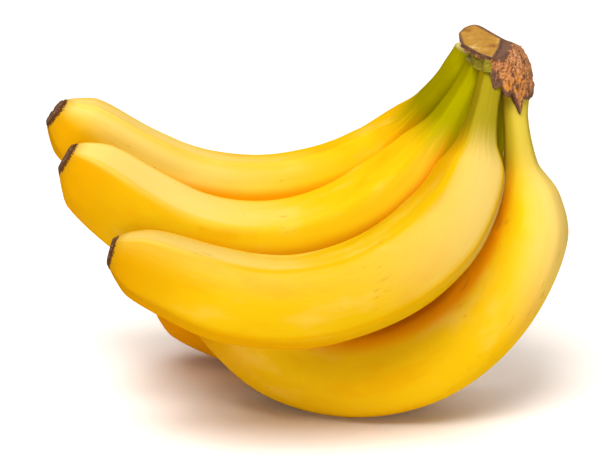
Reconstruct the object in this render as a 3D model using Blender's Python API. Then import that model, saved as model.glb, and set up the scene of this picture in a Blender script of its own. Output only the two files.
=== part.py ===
"""A hand of five bananas on their crown, resting on the bellies of the two lowest fruits.

Lengths are in millimetres up to the mesh, which is in metres, and angles are in degrees.
X runs from the flower ends to the crown, Y away from the front fruit and Z up.
"""

from collections import namedtuple

import bmesh
import bpy
import numpy as np

MM = 0.001

# Where the middle of the hand's box lies, so that the part stands over the origin
HAND_MIDDLE = (-0.45, -0.86)

# One fruit. heading turns the whole curve about Z, lean swings the belly to the front,
# pitch is how steeply the stalk leaves the crown, and three bends curve the fruit back up.
# splay moves it sideways after the stalk, toe does so towards the flower end, stalk_shift
# moves the stalk alone outward, and face_angle turns the broadest of its five faces round it.
# end_slant tips the flat under the flower end, whose upper side then reaches further out.
# stalk and tip are the radius as shares of the girth, at STALK_PLACES and TIP_PLACES.
Fruit = namedtuple(
    "Fruit",
    "root heading lean pitch neck_bend body_bend tip_bend length girth splay toe face_angle "
    "stalk_shift end_slant stalk tip",
)

FRUITS = {
    "banana_1": Fruit(
        root=(65.5, 23.0, 145.0), heading=1.5, lean=2.0, pitch=62.5,
        neck_bend=38.0, body_bend=59.5, tip_bend=4.0,
        length=214.0, girth=18.8, splay=-17.2, toe=8.3, face_angle=-22.0,
        stalk_shift=0.7, end_slant=0.0,
        stalk=(0.30, 0.30, 0.42, 0.70, 0.89, 0.99, 1.0), tip=(0.99, 0.91, 0.79, 0.54, 0.23),
    ),
    "banana_2": Fruit(
        root=(69.5, 11.5, 142.5), heading=2.5, lean=9.0, pitch=61.0,
        neck_bend=27.5, body_bend=69.0, tip_bend=4.0,
        length=213.4, girth=18.4, splay=1.5, toe=3.0, face_angle=18.0,
        stalk_shift=-0.9, end_slant=8.0,
        stalk=(0.30, 0.30, 0.42, 0.71, 0.89, 0.99, 1.0), tip=(0.99, 0.905, 0.78, 0.54, 0.23),
    ),
    "banana_3": Fruit(
        root=(74.5, 0.0, 143.0), heading=2.5, lean=26.0, pitch=77.0,
        neck_bend=34.0, body_bend=65.5, tip_bend=1.0,
        length=211.5, girth=18.8, splay=3.0, toe=-1.0, face_angle=4.0,
        stalk_shift=0.4, end_slant=8.0,
        stalk=(0.30, 0.30, 0.42, 0.75, 0.86, 0.97, 1.0), tip=(0.98, 0.88, 0.75, 0.53, 0.23),
    ),
    "banana_4": Fruit(
        root=(84.0, 2.5, 133.5), heading=-22.0, lean=21.0, pitch=100.5,
        neck_bend=30.5, body_bend=93.5, tip_bend=13.0,
        length=232.0, girth=19.4, splay=-11.0, toe=11.5, face_angle=12.0,
        stalk_shift=0.5, end_slant=0.0,
        stalk=(0.30, 0.265, 0.36, 0.75, 0.955, 0.94, 0.945), tip=(0.98, 0.89, 0.77, 0.54, 0.23),
    ),
    "banana_5": Fruit(
        root=(79.6, 14.4, 132.0), heading=-13.0, lean=0.0, pitch=77.5,
        neck_bend=19.0, body_bend=66.0, tip_bend=9.5,
        length=219.0, girth=19.1, splay=-2.0, toe=-1.0, face_angle=0.0,
        stalk_shift=0.0, end_slant=0.0,
        stalk=(0.30, 0.285, 0.39, 0.66, 0.82, 0.94, 0.99), tip=(0.98, 0.89, 0.77, 0.54, 0.23),
    ),
}

# The two fruits whose bellies lie on the floor, which is at height zero
RESTING = ("banana_4", "banana_5")

# Where along a fruit each bend acts, by distance from the crown
NECK_START, NECK_LENGTH = 32.0, 49.0
BODY_START, BODY_STOPS_SHORT, BODY_EASE = 66.0, 30.0, 0.15
TIP_BEND_BACK, TIP_BEND_LENGTH = 60.0, 55.0
SPLAY_START, SPLAY_LENGTH = 4.0, 56.0
TOE_START = 90.0
SHIFT_LENGTH = 10.0
SHIFT_FADES, SHIFT_FADE_LENGTH = 24.0, 20.0
SLANT_LENGTH = 14.0
CURVE_STEP = 0.5

# Where a fruit's radius is given: from the crown, and back from the flower end
STALK_PLACES = (0.0, 10.0, 28.0, 42.0, 56.0, 72.0, 92.0)
BELLY_PLACE = 0.55
TIP_PLACES = (52.0, 30.0, 14.0, 6.0, 0.0)

# Section of a fruit: one broad face and four even ones, with a low ridge between each two
BROAD_HALF_ANGLE = 52.0
EVEN_HALF_ANGLE = 36.0
FACES = 5
STALK_RIDGES = ((0, 0.03), (30, 0.055), (60, 0.05), (100, 0.027))
TIP_RIDGES = ((60, 0.027), (15, 0.06), (0, 0.045))

# How finely a fruit is divided, with its rings crowding towards the flower end
SIDES = 24
STALK_RINGS, BODY_RINGS, TIP_RINGS = 11, 15, 10
STALK_END, TIP_LENGTH = 58.0, 42.0
TIP_CROWDING = 1.5
DOME_ANGLES = (90.0, 62.0, 32.0)
DOME_HEIGHT = 0.6

# The blunt flower end: rings as (distance back from the tip, radius), on the cut-off peel
PEEL_ENDS_BACK = 2.4
SEAM = 0.3
FLOWER_SIDES = 20
FLOWER_RINGS = ((2.1, 6.2), (1.5, 6.3), (0.8, 6.0), (0.3, 5.4), (0.0, 4.6), (0.4, 2.8))
FLOWER_DIMPLE_BACK = 0.7
FLOWER_LOBES, FLOWER_LOBE_SHARE = 6, 0.04

# The crown: an oval cut face that tilts up to the back, over a rounder root of the stalks
CUT_CENTRE, CUT_HALF, CUT_TURN, CUT_POWER = (69.9, 7.6), (8.6, 16.0), 10.0, 1.7
CUT_HEIGHT, CUT_SLOPE = 152.8, 0.14
ROOT_CENTRE, ROOT_HALF, ROOT_POWER = (76.7, 8.6), (15.0, 16.2), 2.4
ROOT_TOP = (76.0, 9.0, 134.0)
SLAB_THICKNESS = 2.6
WAIST_INSET = 2.0
FLANK_POWER = 0.78
CROWN_COLUMNS = 72
CROWN_LEVELS = (0.0, 0.14, 0.28, 0.42, 0.54, 0.6, 0.7, 0.8, 0.9, 1.0)
WAIST_LEVEL, SLAB_LEVEL = 0.54, 0.6

# Lower edge of the crown by angle round it from +X: (angle, height, share of the slab's
# overhanging profile, fullness of the rounded flank)
CROWN_EDGE = (
    (0, 132.0, 0.0, 1.0),
    (40, 131.5, 0.0, 0.2),
    (90, 137.0, 0.4, 0.0),
    (125, 144.0, 1.0, 0.0),
    (255, 144.0, 1.0, 0.0),
    (265, 138.0, 0.0, 0.3),
    (270, 139.5, 0.0, 0.5),
    (275, 135.5, 0.0, 0.6),
    (280, 135.0, 0.0, 0.7),
    (285, 136.0, 0.0, 0.8),
    (295, 131.0, 0.0, 0.9),
    (300, 126.6, 0.0, 1.0),
    (305, 131.5, 0.0, 1.0),
    (310, 133.2, 0.0, 1.0),
    (330, 132.0, 0.0, 1.0),
)

# How far down its stalk the room for a fruit reaches in the crown, and its rings
SOCKET_DEPTH = 26.0
SOCKET_RINGS = 6

# Half width and depth of the slab that stands for the floor
FLOOR_REACH, FLOOR_DEPTH = 200.0, 20.0


def smooth_step(x):
    """Ease from 0 to 1 with level ends."""
    x = np.clip(x, 0.0, 1.0)
    return x * x * (3.0 - 2.0 * x)


def eased_ramp(x):
    """Straight ramp from 0 to 1 whose ends are rounded over BODY_EASE of it."""
    x = np.clip(x, 0.0, 1.0)
    ease = BODY_EASE
    rising = x * x / (2.0 * ease)
    falling = (1.0 - ease) - (1.0 - x) ** 2 / (2.0 * ease)
    middle = x - ease / 2.0
    ramp = np.where(x < ease, rising, np.where(x > 1.0 - ease, falling, middle))
    return ramp / (1.0 - ease)


def end_slope(first, second, slope_first, slope_second):
    """Slope at the end of a station curve, from its two last spans."""
    return ((2.0 * first + second) * slope_first - first * slope_second) / (first + second)


def station_curve(stations, x):
    """Smooth curve through (place, value) stations that never overshoots them."""
    places, values = np.array(sorted(stations), float).T
    span = np.diff(places)
    slope = np.diff(values) / span
    before, after = slope[:-1], slope[1:]
    weight_1 = 2.0 * span[1:] + span[:-1]
    weight_2 = span[1:] + 2.0 * span[:-1]
    same_way = before * after > 0.0
    safe_before = np.where(same_way, before, 1.0)
    safe_after = np.where(same_way, after, 1.0)
    mean = (weight_1 + weight_2) / (weight_1 / safe_before + weight_2 / safe_after)
    start = end_slope(span[0], span[1], slope[0], slope[1])
    stop = end_slope(span[-1], span[-2], slope[-1], slope[-2])
    tangent = np.concatenate([[start], np.where(same_way, mean, 0.0), [stop]])
    index = np.clip(np.searchsorted(places, x) - 1, 0, len(span) - 1)
    t = (x - places[index]) / span[index]
    gap = span[index]
    return (
        values[index] * (1.0 + 2.0 * t) * (1.0 - t) ** 2
        + gap * tangent[index] * t * (1.0 - t) ** 2
        + values[index + 1] * t * t * (3.0 - 2.0 * t)
        + gap * tangent[index + 1] * t * t * (t - 1.0)
    )


def fruit_axes(fruit):
    """Directions outward, downward in the fruit's plane, and sideways out of that plane."""
    heading, lean = np.radians([fruit.heading, fruit.lean])
    up = np.array([0.0, 0.0, 1.0])
    outward = np.array([-np.cos(heading), -np.sin(heading), 0.0])
    across = np.array([np.sin(heading), -np.cos(heading), 0.0])
    downward = -np.cos(lean) * up + np.sin(lean) * across
    sideways = np.cos(lean) * across + np.sin(lean) * up
    return outward, downward, sideways


def fruit_centreline(fruit):
    """Fine centreline from crown to flower end: distances, points and unit tangents."""
    count = int(round(fruit.length / CURVE_STEP)) + 1
    along = np.linspace(0.0, fruit.length, count)
    body_length = fruit.length - BODY_START - BODY_STOPS_SHORT
    tip_start = fruit.length - TIP_BEND_BACK
    pitch = (
        fruit.pitch
        - fruit.neck_bend * smooth_step((along - NECK_START) / NECK_LENGTH)
        - fruit.body_bend * eased_ramp((along - BODY_START) / body_length)
        - fruit.tip_bend * smooth_step((along - tip_start) / TIP_BEND_LENGTH)
    )
    pitch = np.radians(pitch)[:, None]
    outward, downward, sideways = fruit_axes(fruit)
    direction = np.cos(pitch) * outward + np.sin(pitch) * downward
    steps = (direction[1:] + direction[:-1]) / 2.0 * (along[1] - along[0])
    points = np.vstack([np.zeros(3), np.cumsum(steps, axis=0)]) + np.array(fruit.root)
    aside = fruit.splay * smooth_step((along - SPLAY_START) / SPLAY_LENGTH)
    aside = aside + fruit.toe * smooth_step((along - TOE_START) / (fruit.length - TOE_START))
    fade = 1.0 - smooth_step((along - SHIFT_FADES) / SHIFT_FADE_LENGTH)
    outside = fruit.stalk_shift * smooth_step(along / SHIFT_LENGTH) * fade
    points = points + aside[:, None] * sideways + outside[:, None] * outward
    tangents = np.gradient(points, along, axis=0)
    tangents /= np.linalg.norm(tangents, axis=1)[:, None]
    return along, points, tangents


def fruit_frames(fruit, places):
    """Points and axes of the fruit at the given distances from the crown.

    The axes point forward, sideways and to the belly; the last leans back at the flower end.
    """
    along, points, tangents = fruit_centreline(fruit)
    centres = np.stack([np.interp(places, along, points[:, k]) for k in range(3)], axis=1)
    forward = np.stack([np.interp(places, along, tangents[:, k]) for k in range(3)], axis=1)
    forward /= np.linalg.norm(forward, axis=1)[:, None]
    sideways = fruit_axes(fruit)[2]
    side = sideways - (forward @ sideways)[:, None] * forward
    side /= np.linalg.norm(side, axis=1)[:, None]
    from_tip = fruit.length - places
    slant = np.tan(np.radians(fruit.end_slant)) * smooth_step(1.0 - from_tip / SLANT_LENGTH)
    belly = np.cross(side, forward) - slant[:, None] * forward
    return centres, forward, side, belly


def fruit_radius(fruit, places):
    """Radius of the fruit at the given distances from the crown."""
    stations = list(zip(STALK_PLACES, fruit.stalk))
    stations.append((BELLY_PLACE * fruit.length, 1.0))
    stations.extend((fruit.length - back, share) for back, share in zip(TIP_PLACES, fruit.tip))
    return fruit.girth * station_curve(stations, places)


def ridge_depth(fruit, places):
    """How far the ridges stand out, as a share of the radius."""
    stations = list(STALK_RIDGES)
    stations.extend((fruit.length - back, share) for back, share in TIP_RIDGES)
    return station_curve(stations, places)


def face_phase(angles):
    """Angle round an even pentagon that answers to an angle round the fruit's section."""
    turned = (angles + 180.0) % 360.0 - 180.0
    size = np.abs(turned)
    rest = (180.0 - EVEN_HALF_ANGLE) / (180.0 - BROAD_HALF_ANGLE)
    broad = size * EVEN_HALF_ANGLE / BROAD_HALF_ANGLE
    even = EVEN_HALF_ANGLE + (size - BROAD_HALF_ANGLE) * rest
    return np.sign(turned) * np.where(size < BROAD_HALF_ANGLE, broad, even)


def fruit_sections(fruit, places, angles, grow=0.0):
    """Rings of points round the fruit at the given places and angles, grown by a distance."""
    centres, _, side, belly = fruit_frames(fruit, places)
    phase = np.radians(FACES * face_phase(angles - fruit.face_angle))
    wave = 1.0 - ridge_depth(fruit, places)[:, None] * np.cos(phase)[None, :]
    reach = (fruit_radius(fruit, places)[:, None] * wave + grow)[:, :, None]
    turn = np.radians(angles)[None, :, None]
    round_it = np.cos(turn) * side[:, None, :] + np.sin(turn) * belly[:, None, :]
    return centres[:, None, :] + reach * round_it


def dome_rings(fruit, angles, grow=0.0):
    """Rings of the rounded head of the stalk, which sits in the crown."""
    first = fruit_sections(fruit, np.array([0.0]), angles, grow)[0]
    centre, forward, _, _ = fruit_frames(fruit, np.array([0.0]))
    height = DOME_HEIGHT * fruit_radius(fruit, np.array([0.0]))[0] + grow
    rings = []
    for lift in np.radians(DOME_ANGLES):
        shrunk = centre[0] + (first - centre[0]) * max(np.cos(lift), 0.0)
        rings.append(shrunk - forward[0] * height * np.sin(lift))
    return rings[0][0], rings[1:]


def ring_places(fruit):
    """Distances from the crown at which the fruit has a ring, closer at both ends."""
    tip_start = fruit.length - TIP_LENGTH
    peel_end = fruit.length - PEEL_ENDS_BACK
    stalk = np.linspace(0.0, STALK_END, STALK_RINGS)
    body = np.linspace(STALK_END, tip_start, BODY_RINGS)
    ease = 1.0 - (1.0 - np.linspace(0.0, 1.0, TIP_RINGS)) ** TIP_CROWDING
    tip = tip_start + (peel_end - tip_start) * ease
    return np.concatenate([stalk, body[1:], tip[1:]])


def even_angles(count):
    """Equal angles round a full turn."""
    return np.arange(count) * 360.0 / count


def new_mesh_object(name, mesh_builder, collection, material=None):
    """Object whose mesh a builder fills in, with faces turned outward and smooth."""
    mesh = bpy.data.meshes.new(name)
    body = bmesh.new()
    mesh_builder(body)
    bmesh.ops.recalc_face_normals(body, faces=body.faces)
    body.to_mesh(mesh)
    body.free()
    mesh.shade_smooth()
    if material is not None:
        mesh.materials.append(material)
    obj = bpy.data.objects.new(name, mesh)
    collection.objects.link(obj)
    return obj


def add_ring(body, ring):
    """Add one ring of points, given in millimetres in the fruits' frame."""
    shift = np.array([*HAND_MIDDLE, 0.0])
    return [body.verts.new((point - shift) * MM) for point in ring]


def bridge(body, first, second):
    """Join two rings of as many points with quads."""
    count = len(first)
    for k in range(count):
        follow = (k + 1) % count
        body.faces.new((first[k], first[follow], second[follow], second[k]))


def close_ring(body, ring, point):
    """Close a ring with a fan of triangles to one point."""
    tip = add_ring(body, [point])[0]
    count = len(ring)
    for k in range(count):
        body.faces.new((ring[k], ring[(k + 1) % count], tip))


def loft(body, rings, start_point, end_point):
    """Closed skin over a stack of rings, with a point at each end."""
    made = [add_ring(body, ring) for ring in rings]
    for first, second in zip(made[:-1], made[1:]):
        bridge(body, first, second)
    close_ring(body, made[0], start_point)
    close_ring(body, made[-1], end_point)


def build_fruit(body, fruit):
    """Peel of one fruit, from the rounded head of its stalk to the flat under its flower end."""
    angles = even_angles(SIDES)
    places = ring_places(fruit)
    head, dome = dome_rings(fruit, angles)
    rings = dome + list(fruit_sections(fruit, places, angles))
    tip = fruit_frames(fruit, places[-1:])[0][0]
    loft(body, rings, head, tip)


def build_socket(body, fruit):
    """Room for one stalk in the crown."""
    angles = even_angles(SIDES)
    places = np.linspace(0.0, SOCKET_DEPTH, SOCKET_RINGS)
    head, dome = dome_rings(fruit, angles, SEAM)
    rings = dome + list(fruit_sections(fruit, places, angles, SEAM))
    foot = fruit_frames(fruit, places[-1:])[0][0]
    loft(body, rings, head, foot)


def build_flower_end(body, fruit):
    """Dried, slightly lobed plug at the free end of one fruit."""
    angles = even_angles(FLOWER_SIDES)
    turn = np.radians(angles)[:, None]
    lobes = 1.0 + FLOWER_LOBE_SHARE * np.cos(FLOWER_LOBES * turn)
    rings = []
    for back, radius in FLOWER_RINGS:
        centre, _, side, belly = fruit_frames(fruit, np.array([fruit.length - back]))
        rings.append(centre + radius * lobes * (np.cos(turn) * side + np.sin(turn) * belly))
    base = fruit_frames(fruit, np.array([fruit.length - FLOWER_RINGS[0][0]]))[0][0]
    dimple = fruit_frames(fruit, np.array([fruit.length - FLOWER_DIMPLE_BACK]))[0][0]
    loft(body, rings, base, dimple)


def oval(centre, half, power, angles, turn=0.0):
    """Points of an oval in plan: power 2 is an ellipse, less is pointed, more is squarer."""
    around = np.radians(angles)
    circle = np.stack([np.cos(around), np.sin(around)], axis=1)
    local = np.array(half) * np.sign(circle) * np.abs(circle) ** (2.0 / power)
    tilt = np.radians(turn)
    spin = np.array([[np.cos(tilt), np.sin(tilt)], [-np.sin(tilt), np.cos(tilt)]])
    return np.array(centre) + local @ spin


def crown_edge(angles):
    """Height, share of slab and fullness of the crown's side at angles round it."""
    table = np.array(CROWN_EDGE, float)
    return [np.interp(angles, table[:, 0], column, period=360.0) for column in table[:, 1:].T]


def crown_rings():
    """Rings of the crown from its lower edge up to the rim of the cut face."""
    angles = even_angles(CROWN_COLUMNS)
    low_height, slab, full = crown_edge(angles)
    cut = oval(CUT_CENTRE, CUT_HALF, CUT_POWER, angles, CUT_TURN)
    root = oval(ROOT_CENTRE, ROOT_HALF, ROOT_POWER, angles)
    waist = oval(ROOT_CENTRE, np.array(ROOT_HALF) - WAIST_INSET, ROOT_POWER, angles)
    top_height = CUT_HEIGHT + CUT_SLOPE * cut[:, 1]
    rings = []
    for level in CROWN_LEVELS:
        lift = np.pi / 2.0 * level
        inward = level + (1.0 - np.cos(lift) - level) * full
        upward = level + (np.sin(lift) ** FLANK_POWER - level) * full
        flank = root + (cut - root) * inward[:, None]
        flank_height = low_height + (top_height - low_height) * upward
        under = top_height - SLAB_THICKNESS
        if level < SLAB_LEVEL:
            part = level / WAIST_LEVEL
            ledge = waist
            ledge_height = low_height + (under - low_height) * min(part, 1.0)
        else:
            part = (level - SLAB_LEVEL) / (1.0 - SLAB_LEVEL)
            ledge = cut
            ledge_height = under + SLAB_THICKNESS * part
        plan = flank + (ledge - flank) * slab[:, None]
        height = flank_height + (ledge_height - flank_height) * slab
        rings.append(np.column_stack([plan, height]))
    return rings


def build_crown(body):
    """Solid crown before the stalks' sockets are cut."""
    rings = crown_rings()
    middle = np.array([*CUT_CENTRE, CUT_HEIGHT + CUT_SLOPE * CUT_CENTRE[1]])
    loft(body, rings, np.array(ROOT_TOP), middle)


def build_floor(body):
    """Slab below the floor, which flattens the bellies that rest on it."""
    corners = FLOOR_REACH * np.array([(-1.0, -1.0), (1.0, -1.0), (1.0, 1.0), (-1.0, 1.0)])
    low = np.column_stack([corners, np.full(4, -FLOOR_DEPTH)])
    high = np.column_stack([corners, np.zeros(4)])
    loft(body, [low, high], low.mean(axis=0), high.mean(axis=0))


def cut_with(obj, cutter):
    """Take one solid away from another."""
    modifier = obj.modifiers.new("less_" + cutter.name, "BOOLEAN")
    modifier.operation = "DIFFERENCE"
    modifier.solver = "EXACT"
    modifier.object = cutter


def new_material(name, colour, roughness):
    """Plain surface of one colour."""
    material = bpy.data.materials.new(name)
    material.use_nodes = True
    surface = material.node_tree.nodes["Principled BSDF"]
    surface.inputs["Base Color"].default_value = (*colour, 1.0)
    surface.inputs["Roughness"].default_value = roughness
    return material


def new_collection(name):
    """Collection linked to the scene."""
    collection = bpy.data.collections.new(name)
    bpy.context.scene.collection.children.link(collection)
    return collection


def build():
    """The whole hand, and the helpers that cut it."""
    for obj in list(bpy.data.objects):
        bpy.data.objects.remove(obj)
    hand = new_collection("banana_hand")
    cutters = new_collection("cutters")
    cutters.hide_render = True

    floor = new_mesh_object("floor_slab", build_floor, cutters)
    crown_skin = new_material("dried_crown", (0.30, 0.17, 0.08), 0.8)
    crown = new_mesh_object("crown", build_crown, hand, crown_skin)

    for number, (name, fruit) in enumerate(FRUITS.items(), start=1):
        peel = new_material(f"peel_{number}", (0.90, 0.62, 0.03), 0.45)
        dried = new_material(f"dried_flower_{number}", (0.10, 0.06, 0.03), 0.85)
        body = new_mesh_object(name, lambda mesh, f=fruit: build_fruit(mesh, f), hand, peel)
        if name in RESTING:
            cut_with(body, floor)
        new_mesh_object(
            f"flower_end_{number}", lambda mesh, f=fruit: build_flower_end(mesh, f), hand, dried
        )
        socket = new_mesh_object(
            f"socket_{number}", lambda mesh, f=fruit: build_socket(mesh, f), cutters
        )
        cut_with(crown, socket)

    for helper in cutters.objects:
        helper.hide_render = True
        helper.display_type = "WIRE"


build()
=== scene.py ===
"""Looks of a hand of five bananas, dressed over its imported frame.

Shapes are worked out in millimetres in the fruits' own frame and put into meshes in metres.
X runs from the flower ends to the crown, Y away from the front fruit and Z up.
"""

import logging
from dataclasses import dataclass
from enum import Enum

import bpy
import numpy as np
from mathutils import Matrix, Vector


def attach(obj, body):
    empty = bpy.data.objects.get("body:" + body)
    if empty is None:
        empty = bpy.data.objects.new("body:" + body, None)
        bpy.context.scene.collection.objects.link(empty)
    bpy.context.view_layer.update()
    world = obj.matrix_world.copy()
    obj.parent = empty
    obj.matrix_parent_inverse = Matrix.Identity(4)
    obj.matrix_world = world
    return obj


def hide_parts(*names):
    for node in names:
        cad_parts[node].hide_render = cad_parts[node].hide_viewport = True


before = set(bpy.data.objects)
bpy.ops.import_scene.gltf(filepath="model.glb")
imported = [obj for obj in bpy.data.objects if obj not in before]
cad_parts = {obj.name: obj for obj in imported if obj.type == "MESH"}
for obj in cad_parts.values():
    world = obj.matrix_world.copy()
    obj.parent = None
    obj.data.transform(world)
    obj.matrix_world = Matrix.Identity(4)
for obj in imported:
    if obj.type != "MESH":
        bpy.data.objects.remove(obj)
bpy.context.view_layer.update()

Array = np.ndarray
Point = tuple[float, float, float]
Colour = tuple[float, float, float, float]
Socket = bpy.types.NodeSocket
Value = Socket | float | tuple[float, ...]
Default = Colour | float | None

# Where a value starts and stops to rise, then the results there where they aren't 0 and 1
Rise = tuple[float, ...]

# Height, wavelength and seed of each ripple in a sum
Ripples = tuple[tuple[float, float, int], ...]

WHITE = (1.0, 1.0, 1.0, 1.0)
MM = 0.001
ROOT_BODY = "root"

# Point of the fruits' frame that becomes the middle of the hand
HAND_MIDDLE = (-0.45, -0.86)

# Where a fruit's radius is given, from the crown and back from the flower end
STALK_PLACES = (0.0, 10.0, 28.0, 42.0, 56.0, 72.0, 92.0)
BELLY_PLACE = 0.55
TIP_PLACES = (52.0, 30.0, 14.0, 6.0, 0.0)

# Height of the ridges as a share of the radius, at places given the same way
RIDGE_STATIONS = ((0.0, 0.06), (30.0, 0.12), (60.0, 0.12), (100.0, 0.10))
RIDGE_TIP_STATIONS = ((60.0, 0.11), (15.0, 0.15), (0.0, 0.10))

# Step of a fruit's centreline, then the start and length of each bend and shift along it; the
# tip's start is counted back from the flower end, and the body's bend is as long as the fruit
# less its rest
LINE_STEP = 0.5
NECK_BEND = (32.0, 49.0)
BODY_BEND_START = 66.0
BODY_BEND_REST = 96.0
BODY_BEND_EASE = 0.15
TIP_BEND = (60.0, 55.0)
SPLAY_RUN = (4.0, 56.0)
TOE_START = 90.0
STALK_HEAD = 10.0
STALK_NECK = (24.0, 20.0)
SLANT_LENGTH = 14.0

# Turn from face to face of a fruit, how crisp its ridges are, and the mean of the ridge wave
FACE_TURN = 72.0
HALF_FACE = FACE_TURN / 2.0
CORNER_POWER = 22.0
MEAN_WAVE = 0.40

# Half angle of a fruit's broad face
BROAD_HALF = 52.0

# Unevenness of a fruit's skin, how it is drawn out, and where on the stalk it fades and to what
SKIN_RIPPLES = ((0.10, 16.0, 40),)
SKIN_STRETCH = (1.0, 1.0, 2.2)
FADE_LENGTH = 60.0
FADED_SHARE = 0.2

# Angle round a fruit from its broad face's middle, and the angle that the skin faces there
FACINGS = (
    (0.0, 0.0), (44.0, 20.0), (60.0, 64.0), (84.0, 84.0), (108.0, 104.0), (124.0, 128.0),
    (148.0, 148.0), (172.0, 168.0), (180.0, 180.0),
)

# Radius of the rod that a fruit's skin is unrolled from
ROD_RADIUS = 18.0

# Way towards the light: skin facing it gets painted highlight and skin turned from it painted shade;
# then the spacing of the balls that stand for a fruit
PAINTED_LIGHT_SIDE = (0.78, -0.20, 0.60)
CROWD_STEP = 9.0

# Fruits that the hand lies on, and the height of the flats under them
LOW_FRUITS = (4, 5)
FLAT_HEIGHT = 0.02

log = logging.getLogger("banana_hand")


# Numbers and curves


def paint(red: float, green: float, blue: float) -> Colour:
    """Turn a display colour into the linear one that a shader takes.

    Args:
        red: Red from 0 to 255.
        green: Green from 0 to 255.
        blue: Blue from 0 to 255.

    Returns:
        Linear red, green, blue and an alpha of one.
    """
    shown = np.array([red, green, blue], float) / 255.0
    linear = np.where(shown <= 0.04045, shown / 12.92, ((shown + 0.055) / 1.055) ** 2.4)
    return (*map(float, linear), 1.0)


def smooth_step(x: Array) -> Array:
    """Ease from 0 to 1 with level ends: 3x squared less 2x cubed, with x held in that range."""
    x = np.clip(x, 0.0, 1.0)
    return x * x * (3.0 - 2.0 * x)


def eased_ramp(x: Array, ease: float) -> Array:
    """Straight ramp from 0 to 1 whose two ends are parabolas.

    Args:
        x: Places along the ramp.
        ease: Share of the ramp that each rounded end takes.

    Returns:
        Height of the ramp.
    """
    x = np.clip(x, 0.0, 1.0)
    rising = x * x / (2.0 * ease)
    falling = (1.0 - ease) - (1.0 - x) ** 2 / (2.0 * ease)
    ramp = np.where(x < ease, rising, np.where(x > 1.0 - ease, falling, x - ease / 2.0))
    return ramp / (1.0 - ease)


def station_curve(stations: list[tuple[float, float]], x: Array) -> Array:
    """Curve through stations that never overshoots them.

    Each span is a cubic; the slope at a station is the weighted harmonic mean of the slopes
    beside it, or level where they differ in sign.

    Args:
        stations: Pairs of place and value.
        x: Places to read.

    Returns:
        Values of the curve.
    """
    places, values = np.array(sorted(stations), float).T
    span = np.diff(places)
    slope = np.diff(values) / span
    before, after = slope[:-1], slope[1:]
    weight_1 = 2.0 * span[1:] + span[:-1]
    weight_2 = span[1:] + 2.0 * span[:-1]
    same_way = before * after > 0.0
    parts = weight_1 / np.where(same_way, before, 1.0) + weight_2 / np.where(same_way, after, 1.0)
    inner = np.where(same_way, (weight_1 + weight_2) / parts, 0.0)
    start = ((2.0 * span[0] + span[1]) * slope[0] - span[0] * slope[1]) / (span[0] + span[1])
    stop = ((2.0 * span[-1] + span[-2]) * slope[-1] - span[-1] * slope[-2]) / (span[-1] + span[-2])
    tangent = np.concatenate([[start], inner, [stop]])
    k = np.clip(np.searchsorted(places, x) - 1, 0, len(span) - 1)
    t = (x - places[k]) / span[k]
    return (
        values[k] * (1.0 + 2.0 * t) * (1.0 - t) ** 2
        + span[k] * tangent[k] * t * (1.0 - t) ** 2
        + values[k + 1] * t * t * (3.0 - 2.0 * t)
        + span[k] * tangent[k + 1] * t * t * (t - 1.0)
    )


def ripple(points: Array, wavelength: float, seed: int, waves: int = 14) -> Array:
    """Smooth seeded unevenness: a sum of cosine waves in random directions.

    Args:
        points: Points, with coordinates on the last axis.
        wavelength: Mean length of a wave, in the points' unit.
        seed: Seed of the random directions, phases and lengths.
        waves: How many waves are summed.

    Returns:
        One value a point, with a spread of about one.
    """
    draw = np.random.default_rng(seed)
    way = draw.normal(size=(waves, points.shape[-1]))
    way /= np.linalg.norm(way, axis=1)[:, None]
    number = 2.0 * np.pi / (wavelength * draw.uniform(0.65, 1.5, waves))
    phase = draw.uniform(0.0, 2.0 * np.pi, waves)
    swing = np.cos(points @ (way * number[:, None]).T + phase)
    return swing.sum(axis=-1) * np.sqrt(2.0 / waves)


def ripple_sum(points: Array, layers: Ripples, number: int = 0) -> Array:
    """Sum of ripples, each from its own seed plus a number."""
    return sum(height * ripple(points, length, seed + number) for height, length, seed in layers)


def bell(x: Array, middle: float, width: float) -> Array:
    """Bell curve of height 1: e to minus the square of the distance in widths."""
    return np.exp(-(((x - middle) / width) ** 2))


def even_angles(count: int) -> Array:
    """Equal angles round a full turn, in degrees."""
    return np.arange(count) * 360.0 / count


def compass(angles: Array) -> Array:
    """Unit vectors in plan at angles in degrees."""
    return np.stack([np.cos(np.radians(angles)), np.sin(np.radians(angles))], axis=-1)


def spokes(angles: Array, side: Array, belly: Array) -> Array:
    """Unit vectors round rings: the side times the cosine and the belly times the sine.

    Args:
        angles: Angles round a ring in degrees.
        side: The ring's axis at no angle, for each ring.
        belly: Its axis at a quarter turn.

    Returns:
        Vectors by ring and angle.
    """
    turn = np.radians(angles)[None, :, None]
    return np.cos(turn) * side[:, None] + np.sin(turn) * belly[:, None]


def rounded_pentagon(off: Array) -> Array:
    """Radius of a five-sided outline with rounded corners, 1 at a face's middle.

    Each face stands at distance 1, so it is met at 1 over the cosine of the angle off its
    middle; the two nearest faces are joined by a power mean, which rounds the corner.

    Args:
        off: Angle off the nearest face's middle, in radians.

    Returns:
        The radius.
    """
    next_face = np.radians(FACE_TURN) - off
    joined = np.cos(off) ** CORNER_POWER + np.cos(next_face) ** CORNER_POWER
    return joined ** (-1.0 / CORNER_POWER)


def unrolled(along: Array, angles: Array, offset: float) -> Array:
    """Coordinates on a fruit's skin, as if the fruit were a straight even rod.

    Args:
        along: Distance from the crown of each ring.
        angles: Angles round a ring in degrees.
        offset: Added to the distance, so that no two fruits look the same.

    Returns:
        Three coordinates by ring and angle, in millimetres.
    """
    plan = np.broadcast_to(ROD_RADIUS * compass(angles), (len(along), len(angles), 2))
    height = np.broadcast_to((along + offset)[:, None, None], (len(along), len(angles), 1))
    return np.concatenate([plan, height], axis=-1)


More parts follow.
